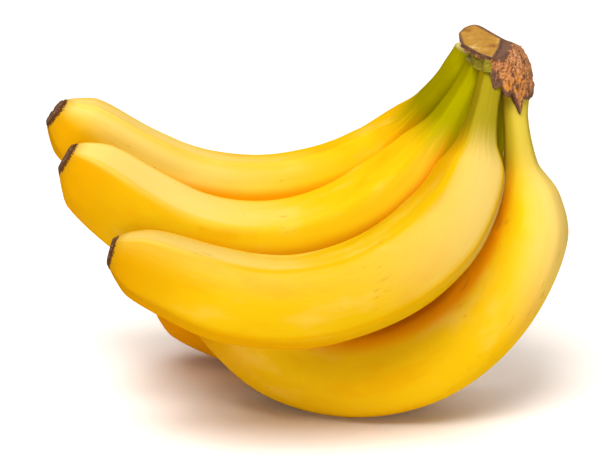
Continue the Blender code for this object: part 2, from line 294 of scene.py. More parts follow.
def corner_outline(corners: tuple, centre: tuple, angles: Array, soft: float) -> Array:
    """Outline through corners, read by angle about a centre and softened.

    The ray at each angle is cut with the side that it crosses; the distances are then
    averaged over a bell-shaped window of angles.

    Args:
        corners: Corners in plan, in order.
        centre: Point inside them.
        angles: Even angles in degrees.
        soft: Half width of the window in degrees.

    Returns:
        Points in plan.
    """
    start = np.array(corners, float) - np.array(centre)
    along = np.roll(start, -1, axis=0) - start
    ray = compass(angles)
    across = ray[:, None, 0] * along[None, :, 1] - ray[:, None, 1] * along[None, :, 0]
    reach = (start[:, 0] * along[:, 1] - start[:, 1] * along[:, 0])[None] / across
    share = (start[None, :, 0] * ray[:, None, 1] - start[None, :, 1] * ray[:, None, 0]) / across
    met = (share >= -1e-6) & (share <= 1.0 + 1e-6) & (reach > 0.0)
    radius = np.where(met, reach, np.inf).min(axis=1)
    step = angles[1] - angles[0]
    half = int(3 * soft / step)
    window = np.exp(-0.5 * (np.arange(-half, half + 1) * step / soft) ** 2)
    padded = np.concatenate([radius[-half:], radius, radius[:half]])
    radius = np.convolve(padded, window / window.sum(), mode="valid")
    return np.array(centre) + ray * radius[:, None]


# Meshes


def grid_faces(rows: int, columns: int) -> Array:
    """Quads between rings of points, each ring closed on itself.

    Args:
        rows: Number of rings.
        columns: Points in a ring.

    Returns:
        Four point numbers a quad.
    """
    row = np.arange(rows - 1)[:, None] * columns
    here = np.arange(columns)[None, :]
    there = (here + 1) % columns
    quads = [row + here, row + there, row + columns + there, row + columns + here]
    return np.stack(quads, axis=-1).reshape(-1, 4)


def fan_faces(first: int, columns: int, pole: int, turned: bool) -> Array:
    """Triangles between one ring and a pole.

    Args:
        first: Number of the ring's first point.
        columns: Points in the ring.
        pole: Number of the pole's point.
        turned: Whether the fan faces the other way.

    Returns:
        Three point numbers a triangle.
    """
    here = first + np.arange(columns)
    there = first + (np.arange(columns) + 1) % columns
    ends = (there, here) if turned else (here, there)
    return np.stack([*ends, np.full(columns, pole)], axis=-1)


def signed_volume(points: Array, faces: Array) -> float:
    """Volume inside closed triangles: a sixth of the sum of their triple products."""
    a, b, c = points[faces[:, 0]], points[faces[:, 1]], points[faces[:, 2]]
    return float(np.einsum("ij,ij->i", a, np.cross(b, c)).sum() / 6.0)


def polygon_depth(corners: tuple, points: Array) -> Array:
    """How deep points lie inside an outline that bulges everywhere, in the outline's unit.

    The depth is the least distance to the inner side of any edge's line.

    Args:
        corners: Corners in plan, in clockwise order.
        points: Points in plan.

    Returns:
        Depth of each point, below zero outside.
    """
    start = np.array(corners, float)
    way = np.roll(start, -1, axis=0) - start
    way /= np.linalg.norm(way, axis=1)[:, None]
    gap = points[..., None, :] - start
    return (gap[..., 0] * way[:, 1] - gap[..., 1] * way[:, 0]).min(axis=-1)


def closed_skin(
    name: str, rings: Array, start: Array, stop: Array, marks: dict[str, Array]
) -> bpy.types.Object:
    """Object with a closed skin over rings of points and a pole at each end.

    Args:
        name: Name of the object.
        rings: Points by ring and column, in millimetres in the fruits' frame.
        start: Pole under the first ring.
        stop: Pole over the last ring.
        marks: Values by ring and column, numbers or vectors, kept as attributes; a pole takes
            the mean of its ring.

    Returns:
        The object, linked to the scene, riding on the root body.
    """
    rows, columns = rings.shape[:2]
    points = np.vstack([rings.reshape(-1, 3), start, stop])
    points = (points - np.array([*HAND_MIDDLE, 0.0])) * MM
    quads = grid_faces(rows, columns)
    first_cap = fan_faces(0, columns, rows * columns, True)
    last_cap = fan_faces((rows - 1) * columns, columns, rows * columns + 1, False)
    caps = np.vstack([first_cap, last_cap])
    split = np.vstack([quads[:, [0, 1, 2]], quads[:, [0, 2, 3]], caps])
    if signed_volume(points, split) < 0.0:
        quads, caps = quads[:, ::-1], caps[:, ::-1]
    mesh = bpy.data.meshes.new(name)
    mesh.from_pydata(points.tolist(), [], quads.tolist() + caps.tolist())
    mesh.shade_smooth()
    for mark, values in marks.items():
        flat = values.reshape(rows * columns, -1)
        poles = np.vstack([flat[:columns].mean(axis=0), flat[-columns:].mean(axis=0)])
        whole = np.vstack([flat, poles]).astype(np.float32)
        wide = whole.shape[1] == 3
        layer = mesh.attributes.new(mark, "FLOAT_VECTOR" if wide else "FLOAT", "POINT")
        layer.data.foreach_set("vector" if wide else "value", whole.ravel())
    obj = bpy.data.objects.new(name, mesh)
    bpy.context.scene.collection.objects.link(obj)
    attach(obj, ROOT_BODY)
    return obj


def dress(piece: bpy.types.Object, material: bpy.types.Material) -> None:
    """Put a material on one built piece and log the piece's size in faces."""
    piece.data.materials.append(material)
    log.info("%s: %d faces", piece.name, len(piece.data.polygons))


# Shader building


class Wiring:
    """Adds nodes to one tree and joins them, with short names for the usual ones."""

    def __init__(self, tree: bpy.types.NodeTree) -> None:
        """Keep the tree of a material or of a group."""
        self.tree = tree

    def add(self, kind: str, **settings: object) -> bpy.types.Node:
        """Add a node.

        Args:
            kind: Node type without its ShaderNode prefix.
            settings: Properties to set on it.

        Returns:
            The node.
        """
        node = self.tree.nodes.new("ShaderNode" + kind)
        for key, value in settings.items():
            setattr(node, key, value)
        return node

    def feed(self, socket: Socket, value: Value) -> None:
        """Link a value that is an output socket to an input, or set one that is plain.

        Args:
            socket: The input.
            value: An output socket, a number, a colour or a vector.
        """
        if isinstance(value, Socket):
            self.tree.links.new(value, socket)
        else:
            socket.default_value = value

    def math(self, operation: str, *values: Value, clamp: bool = False) -> Socket:
        """One sum of numbers.

        Args:
            operation: Name of the operation, as the Math node has it.
            values: Its two or three numbers or sockets.
            clamp: Whether to hold the result between 0 and 1.

        Returns:
            The result's socket.
        """
        node = self.add("Math", operation=operation, use_clamp=clamp)
        for socket, value in zip(node.inputs, values):
            self.feed(socket, value)
        return node.outputs[0]

    def product(self, first: Value, second: Value) -> Socket:
        """Multiply two numbers."""
        return self.math("MULTIPLY", first, second)

    def rise(
        self, value: Socket, low: Value, high: Value, bottom: Value = 0.0, top: Value = 1.0
    ) -> Socket:
        """Smooth rise from bottom to top while a value goes from low to high.

        Args:
            value: The socket that is read.
            low: Value at which the rise starts.
            high: Value at which it ends; where it is below low, the value is read downwards.
            bottom: Result at the start.
            top: Result at the end.

        Returns:
            The result's socket.
        """
        node = self.add("MapRange", interpolation_type="SMOOTHSTEP")
        for socket, given in zip(node.inputs[:5], (value, low, high, bottom, top)):
            self.feed(socket, given)
        return node.outputs[0]

    def mix(self, share: Value, first: Value, second: Value, blend: str = "MIX") -> Socket:
        """Mix two colours.

        Args:
            share: How much of the second, from 0 to 1.
            first: First colour or socket.
            second: Second colour or socket.
            blend: Blending mode.

        Returns:
            The mixed colour's socket.
        """
        node = self.add("Mix", data_type="RGBA", blend_type=blend)
        for socket, value in zip((node.inputs[0], *node.inputs[6:8]), (share, first, second)):
            self.feed(socket, value)
        return node.outputs[2]

    def tint(
        self, colour: Value, over: Value, value: Socket, rise: Rise, mask: Socket | None = None
    ) -> Socket:
        """Lay a colour over another where a value has risen.

        Args:
            colour: The colour so far.
            over: The colour that is laid over it.
            value: The socket that is read.
            rise: The rise of that value.
            mask: A share that the rise is multiplied by.

        Returns:
            The new colour's socket.
        """
        share = self.rise(value, *rise)
        if mask is not None:
            share = self.product(share, mask)
        return self.mix(share, colour, over)

    def noise(self, vector: Value, scale: Value, detail: float = 2.0, rough: float = 0.5) -> Socket:
        """Cloudy noise from 0 to 1.

        Args:
            vector: Coordinates.
            scale: Clouds in a unit of length.
            detail: Finer layers.
            rough: Weight of the finer layers.

        Returns:
            The noise's socket.
        """
        node = self.add("TexNoise")
        given = {"Vector": vector, "Scale": scale, "Detail": detail, "Roughness": rough}
        for key, value in given.items():
            self.feed(node.inputs[key], value)
        return node.outputs[0]

    def stretched(self, vector: Socket, scale: Point) -> Socket:
        """Coordinates scaled by a different number on each axis.

        Args:
            vector: Coordinates.
            scale: The three numbers.

        Returns:
            The scaled coordinates' socket.
        """
        node = self.add("Mapping")
        self.feed(node.inputs["Vector"], vector)
        self.feed(node.inputs["Scale"], scale)
        return node.outputs[0]

    def mark(self, name: str) -> Socket:
        """Read a number kept on the mesh as an attribute."""
        return self.add("Attribute", attribute_name=name).outputs["Fac"]

    def mark_vector(self, name: str) -> Socket:
        """Read a vector kept on the mesh as an attribute."""
        return self.add("Attribute", attribute_name=name).outputs["Vector"]

    def group(self, tree: bpy.types.NodeTree, **values: Value) -> dict[str, Socket]:
        """Place a shader node group.

        Args:
            tree: The group's tree.
            values: Values by input name, with _ for a space.

        Returns:
            The group's outputs by name.
        """
        node = self.add("Group", node_tree=tree)
        for key, value in values.items():
            self.feed(node.inputs[key.replace("_", " ")], value)
        return {socket.name: socket for socket in node.outputs}


def new_group(name: str, inputs: dict[str, Default], outputs: dict[str, str]) -> tuple:
    """Start a shader node group with named sockets.

    Args:
        name: Name of the group.
        inputs: Default of each input by name: a colour, a number, or nothing for a vector.
        outputs: Kind of each output by name.

    Returns:
        The tree, its wiring, its input sockets by name and its output node.
    """
    tree = bpy.data.node_groups.new(name, "ShaderNodeTree")
    for key, default in inputs.items():
        kind = "Float" if isinstance(default, float) else "Color" if default else "Vector"
        socket = tree.interface.new_socket(key, in_out="INPUT", socket_type="NodeSocket" + kind)
        if default is not None:
            socket.default_value = default
    for key, kind in outputs.items():
        tree.interface.new_socket(key, in_out="OUTPUT", socket_type="NodeSocket" + kind)
    entry = tree.nodes.new("NodeGroupInput")
    given = {socket.name: socket for socket in entry.outputs if socket.name}
    return tree, Wiring(tree), given, tree.nodes.new("NodeGroupOutput")


class Effects:
    """Shader node groups that more than one finish uses, each built once."""

    def __init__(self) -> None:
        """Build the groups."""
        self.mottle = self.build_mottle()
        self.specks = self.build_specks()
        self.fibres = self.build_fibres()

    @staticmethod
    def build_mottle() -> bpy.types.NodeTree:
        """Uneven colour: soft clouds of a lighter and of a darker colour over a plain one.

        Returns:
            The group's tree.
        """
        inputs = {"Vector": None, "Colour": WHITE, "Light": WHITE, "Dark": WHITE}
        inputs.update({"Scale": 0.1, "Amount": 0.5})
        tree, wiring, given, end = new_group("mottle", inputs, {"Colour": "Color"})
        clouds = wiring.noise(given["Vector"], given["Scale"], 3.0, 0.55)
        lighter, darker = (0.52, 0.72), (0.48, 0.28)
        colour = wiring.tint(given["Colour"], given["Light"], clouds, lighter, given["Amount"])
        colour = wiring.tint(colour, given["Dark"], clouds, darker, given["Amount"])
        wiring.feed(end.inputs[0], colour)
        return tree

    @staticmethod
    def build_specks() -> bpy.types.NodeTree:
        """Scattered small round specks: the hearts of some random cells, with soft edges.

        Returns:
            The group's tree.
        """
        inputs = {"Vector": None, "Scale": 1.0, "Size": 0.2, "Coverage": 0.5}
        tree, wiring, given, end = new_group("specks", inputs, {"Mask": "Float"})
        cells = wiring.add("TexVoronoi", feature="F1")
        wiring.feed(cells.inputs["Vector"], given["Vector"])
        wiring.feed(cells.inputs["Scale"], given["Scale"])
        spread = wiring.product(given["Size"], 1.6)
        heart = wiring.rise(cells.outputs["Distance"], spread, given["Size"])
        chance = wiring.add("SeparateColor")
        wiring.feed(chance.inputs[0], cells.outputs["Color"])
        chosen = wiring.math("LESS_THAN", chance.outputs[0], given["Coverage"])
        wiring.feed(end.inputs[0], wiring.product(heart, chosen))
        return tree

    @staticmethod
    def build_fibres() -> bpy.types.NodeTree:
        """Fine fibres and grain: stretched noise for the fibres, round noise for the grain.

        Returns:
            The group's tree.
        """
        inputs = {"Fibre Vector": None, "Grain Vector": None}
        inputs.update({"Fibre Scale": 1.0, "Grain Scale": 1.0, "Balance": 0.5})
        outputs = {"Height": "Float", "Streak": "Float"}
        tree, wiring, given, end = new_group("fibres", inputs, outputs)
        streak = wiring.noise(given["Fibre Vector"], given["Fibre Scale"], 3.0, 0.6)
        grain = wiring.noise(given["Grain Vector"], given["Grain Scale"], 4.0, 0.6)
        part = wiring.product(streak, given["Balance"])
        rest = wiring.product(grain, wiring.math("SUBTRACT", 1.0, given["Balance"]))
        wiring.feed(end.inputs[0], wiring.math("ADD", part, rest))
        wiring.feed(end.inputs[1], streak)
        return tree


def new_surface(name: str, **constants: float) -> tuple:
    """Start a material with one Principled shader.

    Args:
        name: Name of the material.
        constants: Plain values by input name, with _ for a space.

    Returns:
        The material, its wiring and the shader node.
    """
    material = bpy.data.materials.new(name)
    material.use_nodes = True
    shader = material.node_tree.nodes["Principled BSDF"]
    for key, value in constants.items():
        shader.inputs[key.replace("_", " ")].default_value = value
    return material, Wiring(material.node_tree), shader


def raise_surface(
    wiring: Wiring, shader: bpy.types.Node, height: Socket, distance: float, strength: float
) -> None:
    """Give a shader fine relief.

    Args:
        wiring: Wiring of the material.
        shader: The Principled shader.
        height: Socket of the relief's height, from 0 to 1.
        distance: Height of a full step in metres.
        strength: Weight of the relief.
    """
    bump = wiring.add("Bump")
    bump.inputs["Distance"].default_value = distance
    bump.inputs["Strength"].default_value = strength
    wiring.feed(bump.inputs["Height"], height)
    wiring.feed(shader.inputs["Normal"], bump.outputs["Normal"])


# Finishes


@dataclass(frozen=True)
class StalkLook:
    """A stalk's display colour, where that starts and stops to fade, and how much it raises the
    painted highlight on the shoulder near the crown.
    """

    shown: Point
    start: float
    stop: float
    shoulder: float


class Ripeness(Enum):
    """How far a fruit has ripened, which shows in its stalk."""

    GREEN = StalkLook((160, 151, 1), 24.0, 46.0, 0.08)
    SOFT_GREEN = StalkLook((160, 142, 26), 20.0, 42.0, 0.30)
    STRAW = StalkLook((196, 172, 60), 18.0, 46.0, 0.22)


@dataclass(frozen=True)
class PeelFinish:
    """Waxy yellow skin with a greenish stalk, dull rim and sparse freckles, with painted highlight
    and painted shade.

    The tone darkens the whole skin, less where other fruits lie close, which paints bounce light
    there.
    The ridge shade strength is how much painted shade lies along its ridges. The shade onset is
    where skin near other fruits starts to get painted orange shade. The shade depth is how much
    painted shade the side turned from the light gets, and the end shade how much painted orange
    shade the flower end gets.
    """

    ripeness: Ripeness
    tone: float = 0.83
    painted_ridge_shade_strength: float = 0.0
    painted_shade_onset: float = 0.46
    painted_shade_depth: float = 0.4
    painted_end_shade: float = 0.0
    body: Colour = (0.69, 0.415, 0.004, 1.0)
    light: Colour = (0.74, 0.48, 0.07, 1.0)
    # Deeper yellow for the mottle's dark clouds and the streaks, and painted shade on the side
    # turned from the light
    deep: Colour = (0.67, 0.325, 0.001, 1.0)
    # Painted shade near the flower end on the side turned from the light, in a riper orange
    painted_tip_shade: Colour = (0.58, 0.268, 0.001, 1.0)
    # Painted highlight, on the side facing the light and on the ridges near the tip
    pale: Colour = (0.74, 0.525, 0.145, 1.0)
    # Painted orange shade, between the fruits and at the flower end
    painted_orange_shade: Colour = (0.72, 0.27, 0.001, 1.0)
    # Painted shade line along the ridges
    painted_ridge_shade: Colour = (0.72, 0.38, 0.001, 1.0)
    callus: Colour = (0.62, 0.47, 0.22, 1.0)
    dull: Colour = (0.47, 0.24, 0.006, 1.0)
    rim: Colour = paint(84, 50, 24)
    freckle: Colour = paint(150, 96, 20)
    scuff: Colour = paint(176, 116, 30)
    roughness: float = 0.46

    def material(self, name: str, effects: Effects) -> bpy.types.Material:
        """Build the material from the skin outwards: painted highlight and shade by facing and on
        the ridges, painted shade between the fruits and at the flower end, stalk, marks and tip.

        Args:
            name: Name of the material.
            effects: Shared node groups.

        Returns:
            The material.
        """
        material, wiring, shader = new_surface(name, Specular_IOR_Level=0.0)
        skin, along, back = wiring.mark_vector("skin"), wiring.mark("along"), wiring.mark("back")
        occlusion_for_painted_light = wiring.mark("occlusion_for_painted_light")
        fibres = wiring.group(
            effects.fibres, Fibre_Vector=wiring.stretched(skin, (1.0, 1.0, 0.07)),
            Grain_Vector=skin, Fibre_Scale=0.55, Grain_Scale=1.3, Balance=0.55,
        )
        streak = fibres["Streak"]
        colour = wiring.group(
            effects.mottle, Vector=wiring.stretched(skin, (1.0, 1.0, 0.4)), Colour=self.body,
            Light=self.light, Dark=self.deep, Scale=0.07, Amount=0.6,
        )["Colour"]
        colour = wiring.tint(colour, self.deep, streak, (0.42, 0.25, 0.0, 0.15))
        colour = self.add_painted_light(wiring, colour, along, back, streak)
        # Painted orange shade where other fruits lie close
        colour = wiring.tint(colour, self.painted_orange_shade, occlusion_for_painted_light, (self.painted_shade_onset, self.painted_shade_onset + 0.3))
        # Painted orange shade over the flower end
        colour = wiring.tint(colour, self.painted_orange_shade, back, (75.0, 40.0, 0.0, self.painted_end_shade))
        colour = self.add_stalk(wiring, colour, along, streak)
        colour = self.add_blemishes(wiring, colour, skin, effects)
        colour = self.add_tip(wiring, colour, back, skin)
        # Painted bounce light: the tone darkens the skin less where other fruits lie close
        tone_share_with_painted_bounce = wiring.rise(occlusion_for_painted_light, 0.36, 0.56, 1.0, 0.3)
        colour = wiring.mix(tone_share_with_painted_bounce, colour, (self.tone, self.tone, self.tone, 1.0), "MULTIPLY")
        wiring.feed(shader.inputs["Base Color"], colour)
        dried = wiring.rise(back, 4.0, 2.2, 0.0, 0.35)
        smooth, worn = self.roughness - 0.05, self.roughness + 0.06
        rough = wiring.rise(fibres["Height"], 0.3, 0.7, smooth, worn)
        wiring.feed(shader.inputs["Roughness"], wiring.math("ADD", rough, dried, clamp=True))
        raise_surface(wiring, shader, fibres["Height"], 0.0001, 0.25)
        return material

    def add_painted_light(
        self, wiring: Wiring, colour: Socket, along: Socket, back: Socket, streak: Socket
    ) -> Socket:
        """Paint highlight on the side facing the light and on the ridges near the tip, and paint
        shade on the other side, near the far end and along the ridges.

        Args:
            wiring: Wiring of the material.
            colour: The skin's colour so far.
            along: Distance from the crown.
            back: Distance back from the tip.
            streak: Lengthways fibre noise.

        Returns:
            The new colour's socket.
        """
        ridge = wiring.mark("ridge")
        painted_light_level = wiring.math("ADD", wiring.mark("painted_light_facing"), wiring.rise(streak, 0.3, 0.7, -0.02, 0.02))
        # Painted shade on the side turned from the light
        colour = wiring.tint(colour, self.deep, painted_light_level, (0.12, -0.45, 0.0, self.painted_shade_depth))
        # Painted highlight on the side facing the light, raised towards the crown by the stalk's
        # shoulder value and kept off the ridges
        paler = wiring.rise(along, 125.0, 45.0, 0.0, self.ripeness.value.shoulder)
        shoulder = wiring.math("ADD", painted_light_level, paler)
        off_ridge = wiring.rise(ridge, 0.6, 0.95, 0.95, 0.45)
        colour = wiring.tint(colour, self.pale, shoulder, (0.34, 0.98, 0.0, 0.92), off_ridge)
        # Painted shade near the flower end on the side turned from the light
        far_end = wiring.rise(back, 52.0, 4.0)
        colour = wiring.tint(colour, self.painted_tip_shade, painted_light_level, (0.95, 0.25), far_end)
        # Painted highlight on the ridges near the tip, where they face the light
        near_end = wiring.rise(back, 40.0, 15.0, 0.0, 0.25)
        upper = wiring.product(wiring.rise(painted_light_level, -0.1, 0.4), near_end)
        colour = wiring.tint(colour, self.pale, ridge, (0.86, 1.0), upper)
        # Painted shade line along the ridges, clear of the tip
        clear = wiring.rise(back, 30.0, 60.0, 0.0, self.painted_ridge_shade_strength)
        return wiring.tint(colour, self.painted_ridge_shade, ridge, (0.88, 0.99), clear)

    def add_stalk(self, wiring: Wiring, colour: Socket, along: Socket, streak: Socket) -> Socket:
        """Lay the stalk's green, with painted shade on its side turned from the light, over the
        skin, fading into the body, with a pale head.

        Args:
            wiring: Wiring of the material.
            colour: The skin's colour so far.
            along: Distance from the crown.
            streak: Lengthways fibre noise.

        Returns:
            The new colour's socket.
        """
        look = self.ripeness.value
        red, green, blue, _ = paint(*look.shown)
        darker = (0.8 * red, 0.8 * green, 0.8 * blue, 1.0)
        painted_stalk_shade = (0.62 * red, 0.57 * green, 0.05 * blue, 1.0)
        reach = wiring.math("ADD", along, wiring.math("MULTIPLY_ADD", streak, 16.0, -8.0))
        stalk = wiring.tint((red, green, blue, 1.0), darker, streak, (0.35, 0.7, 0.0, 0.4))
        # Painted shade on the stalk's side turned from the light
        stalk = wiring.tint(stalk, painted_stalk_shade, wiring.mark("painted_light_facing"), (0.4, -0.2, 0.0, 0.78))
        colour = wiring.tint(colour, stalk, reach, (look.stop, look.start))
        return wiring.tint(colour, self.callus, along, (1.0, -1.0, 0.0, 0.65))

    def add_blemishes(
        self, wiring: Wiring, colour: Socket, skin: Socket, effects: Effects
    ) -> Socket:
        """Strew a few freckles, and rub the skin lengthways in some patches.

        Args:
            wiring: Wiring of the material.
            colour: The skin's colour so far.
            skin: Coordinates on the skin.
            effects: Shared node groups.

        Returns:
            The new colour's socket.
        """
        specks = wiring.group(effects.specks, Vector=skin, Scale=0.16, Size=0.045, Coverage=0.3)
        colour = wiring.mix(wiring.product(specks["Mask"], 0.55), colour, self.freckle)
        rubbed = wiring.noise(wiring.stretched(skin, (1.0, 1.0, 0.22)), 0.42, 3.0, 0.7)
        somewhere = wiring.rise(wiring.noise(skin, 0.035, 1.0), 0.54, 0.64)
        return wiring.tint(colour, self.scuff, rubbed, (0.60, 0.70, 0.0, 0.45), somewhere)

    def add_tip(self, wiring: Wiring, colour: Socket, back: Socket, skin: Socket) -> Socket:
        """Dull the skin towards the flower end and turn its ragged rim brown.

        Args:
            wiring: Wiring of the material.
            colour: The skin's colour so far.
            back: Distance back from the tip.
            skin: Coordinates on the skin.

        Returns:
            The new colour's socket.
        """
        ragged = wiring.product(wiring.noise(skin, 0.9, 4.0, 0.7), 4.0)
        place = wiring.math("SUBTRACT", back, ragged)
        colour = wiring.tint(colour, self.dull, place, (4.5, 0.6, 0.0, 0.5))
        return wiring.tint(colour, self.rim, place, (0.9, 0.4))


@dataclass(frozen=True)
class FlowerFinish:
    """Dry crumbly brown of a flower's remains, with pale flecks."""

    dark: Colour = paint(100, 64, 34)
    darker: Colour = paint(48, 29, 15)
    fleck: Colour = paint(172, 132, 92)

    def material(self, name: str, effects: Effects) -> bpy.types.Material:
        """Build the material.

        Args:
            name: Name of the material.
            effects: Shared node groups.

        Returns:
            The material.
        """
        material, wiring, shader = new_surface(name, Roughness=0.85, Specular_IOR_Level=0.25)
        skin = wiring.mark_vector("skin")
        fibres = wiring.group(
            effects.fibres, Fibre_Vector=skin, Grain_Vector=skin,
            Fibre_Scale=0.9, Grain_Scale=2.6, Balance=0.4,
        )
        colour = wiring.tint(self.dark, self.darker, fibres["Height"], (0.56, 0.42))
        flecks = wiring.group(effects.specks, Vector=skin, Scale=1.3, Size=0.26, Coverage=0.4)
        colour = wiring.mix(wiring.product(flecks["Mask"], 0.6), colour, self.fleck)
        wiring.feed(shader.inputs["Base Color"], colour)
        raise_surface(wiring, shader, fibres["Height"], 0.0006, 0.8)
        return material


@dataclass(frozen=True)
class CrownFinish:
    """Tan fibrous cut, speckled brown dried skin and olive tissue between the stalks."""

    cut: Colour = paint(152, 108, 24)
    cut_light: Colour = paint(196, 164, 98)
    cut_deep: Colour = paint(120, 68, 8)
    bark: Colour = paint(166, 106, 60)
    bark_light: Colour = paint(202, 148, 102)
    bark_deep: Colour = paint(84, 48, 26)
    warm: Colour = paint(190, 118, 14)
    dark: Colour = paint(80, 52, 36)
    speck: Colour = paint(60, 32, 16)
    tissue: Colour = paint(122, 112, 4)

    def material(self, name: str, effects: Effects) -> bpy.types.Material:
        """Build the material: bark, then tissue, then the cut over it.

        Args:
            name: Name of the material.
            effects: Shared node groups.

        Returns:
            The material.
        """
        material, wiring, shader = new_surface(name, Roughness=0.78, Specular_IOR_Level=0.3)
        skin = wiring.mark_vector("skin")
        fibres = wiring.group(
            effects.fibres, Fibre_Vector=wiring.stretched(skin, (1.0, 1.0, 0.35)),
            Grain_Vector=skin, Fibre_Scale=0.55, Grain_Scale=1.5, Balance=0.5,
        )
        colour = self.add_bark(wiring, skin, fibres["Streak"], effects)
        colour = wiring.mix(wiring.mark("tissue"), colour, self.tissue)
        cut = wiring.group(
            effects.mottle, Vector=skin, Colour=self.cut, Light=self.cut_light,
            Dark=self.cut_deep, Scale=0.17, Amount=0.85,
        )["Colour"]
        wiring.feed(shader.inputs["Base Color"], wiring.mix(wiring.mark("cut"), colour, cut))
        raise_surface(wiring, shader, fibres["Height"], 0.0005, 0.7)
        return material

    def add_bark(
        self, wiring: Wiring, skin: Socket, streak: Socket, effects: Effects
    ) -> Socket:
        """Mottled bark with grain, a warm patch, specks, dark runs and dark edges.

        Args:
            wiring: Wiring of the material.
            skin: Coordinates on the crown.
            streak: Upright fibre noise.
            effects: Shared node groups.

        Returns:
            The colour's socket.
        """
        bark = wiring.group(
            effects.mottle, Vector=skin, Colour=self.bark, Light=self.bark_light,
            Dark=self.bark_deep, Scale=0.3, Amount=0.6,
        )["Colour"]
        grain = wiring.noise(skin, 1.0, 4.0, 0.75)
        bark = wiring.tint(bark, self.bark_light, grain, (0.53, 0.66, 0.0, 0.8))
        bark = wiring.tint(bark, self.bark_deep, grain, (0.48, 0.34, 0.0, 0.8))
        patches = wiring.noise(skin, 0.45, 3.0, 0.6)
        bark = wiring.tint(bark, self.warm, patches, (0.42, 0.6), wiring.mark("warm"))
        specks = wiring.group(effects.specks, Vector=skin, Scale=0.8, Size=0.26, Coverage=0.5)
        bark = wiring.mix(wiring.product(specks["Mask"], 0.6), bark, self.speck)
        runs = wiring.noise(wiring.stretched(skin, (1.0, 1.0, 0.28)), 0.42, 3.0, 0.65)
        bark = wiring.tint(bark, self.speck, runs, (0.55, 0.66, 0.0, 0.85))
        ragged = wiring.rise(streak, 0.3, 0.7, -0.4, 0.4)
        edge = wiring.math("ADD", wiring.mark("dark"), ragged)
        return wiring.tint(bark, self.dark, edge, (0.35, 0.75, 0.0, 0.9))


@dataclass(frozen=True)
class FloorFinish:
    """Plain pale paper with a faint tooth."""

    colour: Colour = (0.96, 0.89, 0.83, 1.0)

    def material(self, name: str) -> bpy.types.Material:
        """Build the material.

        Args:
            name: Name of the material.

        Returns:
            The material.
        """
        material, wiring, shader = new_surface(name, Roughness=0.9, Specular_IOR_Level=0.1)
        tooth = wiring.noise(wiring.add("TexCoord").outputs["Object"], 300.0)
        pale = (*(0.985 * part for part in self.colour[:3]), 1.0)
        wiring.feed(shader.inputs["Base Color"], wiring.mix(tooth, self.colour, pale))
        return material


# Fruits


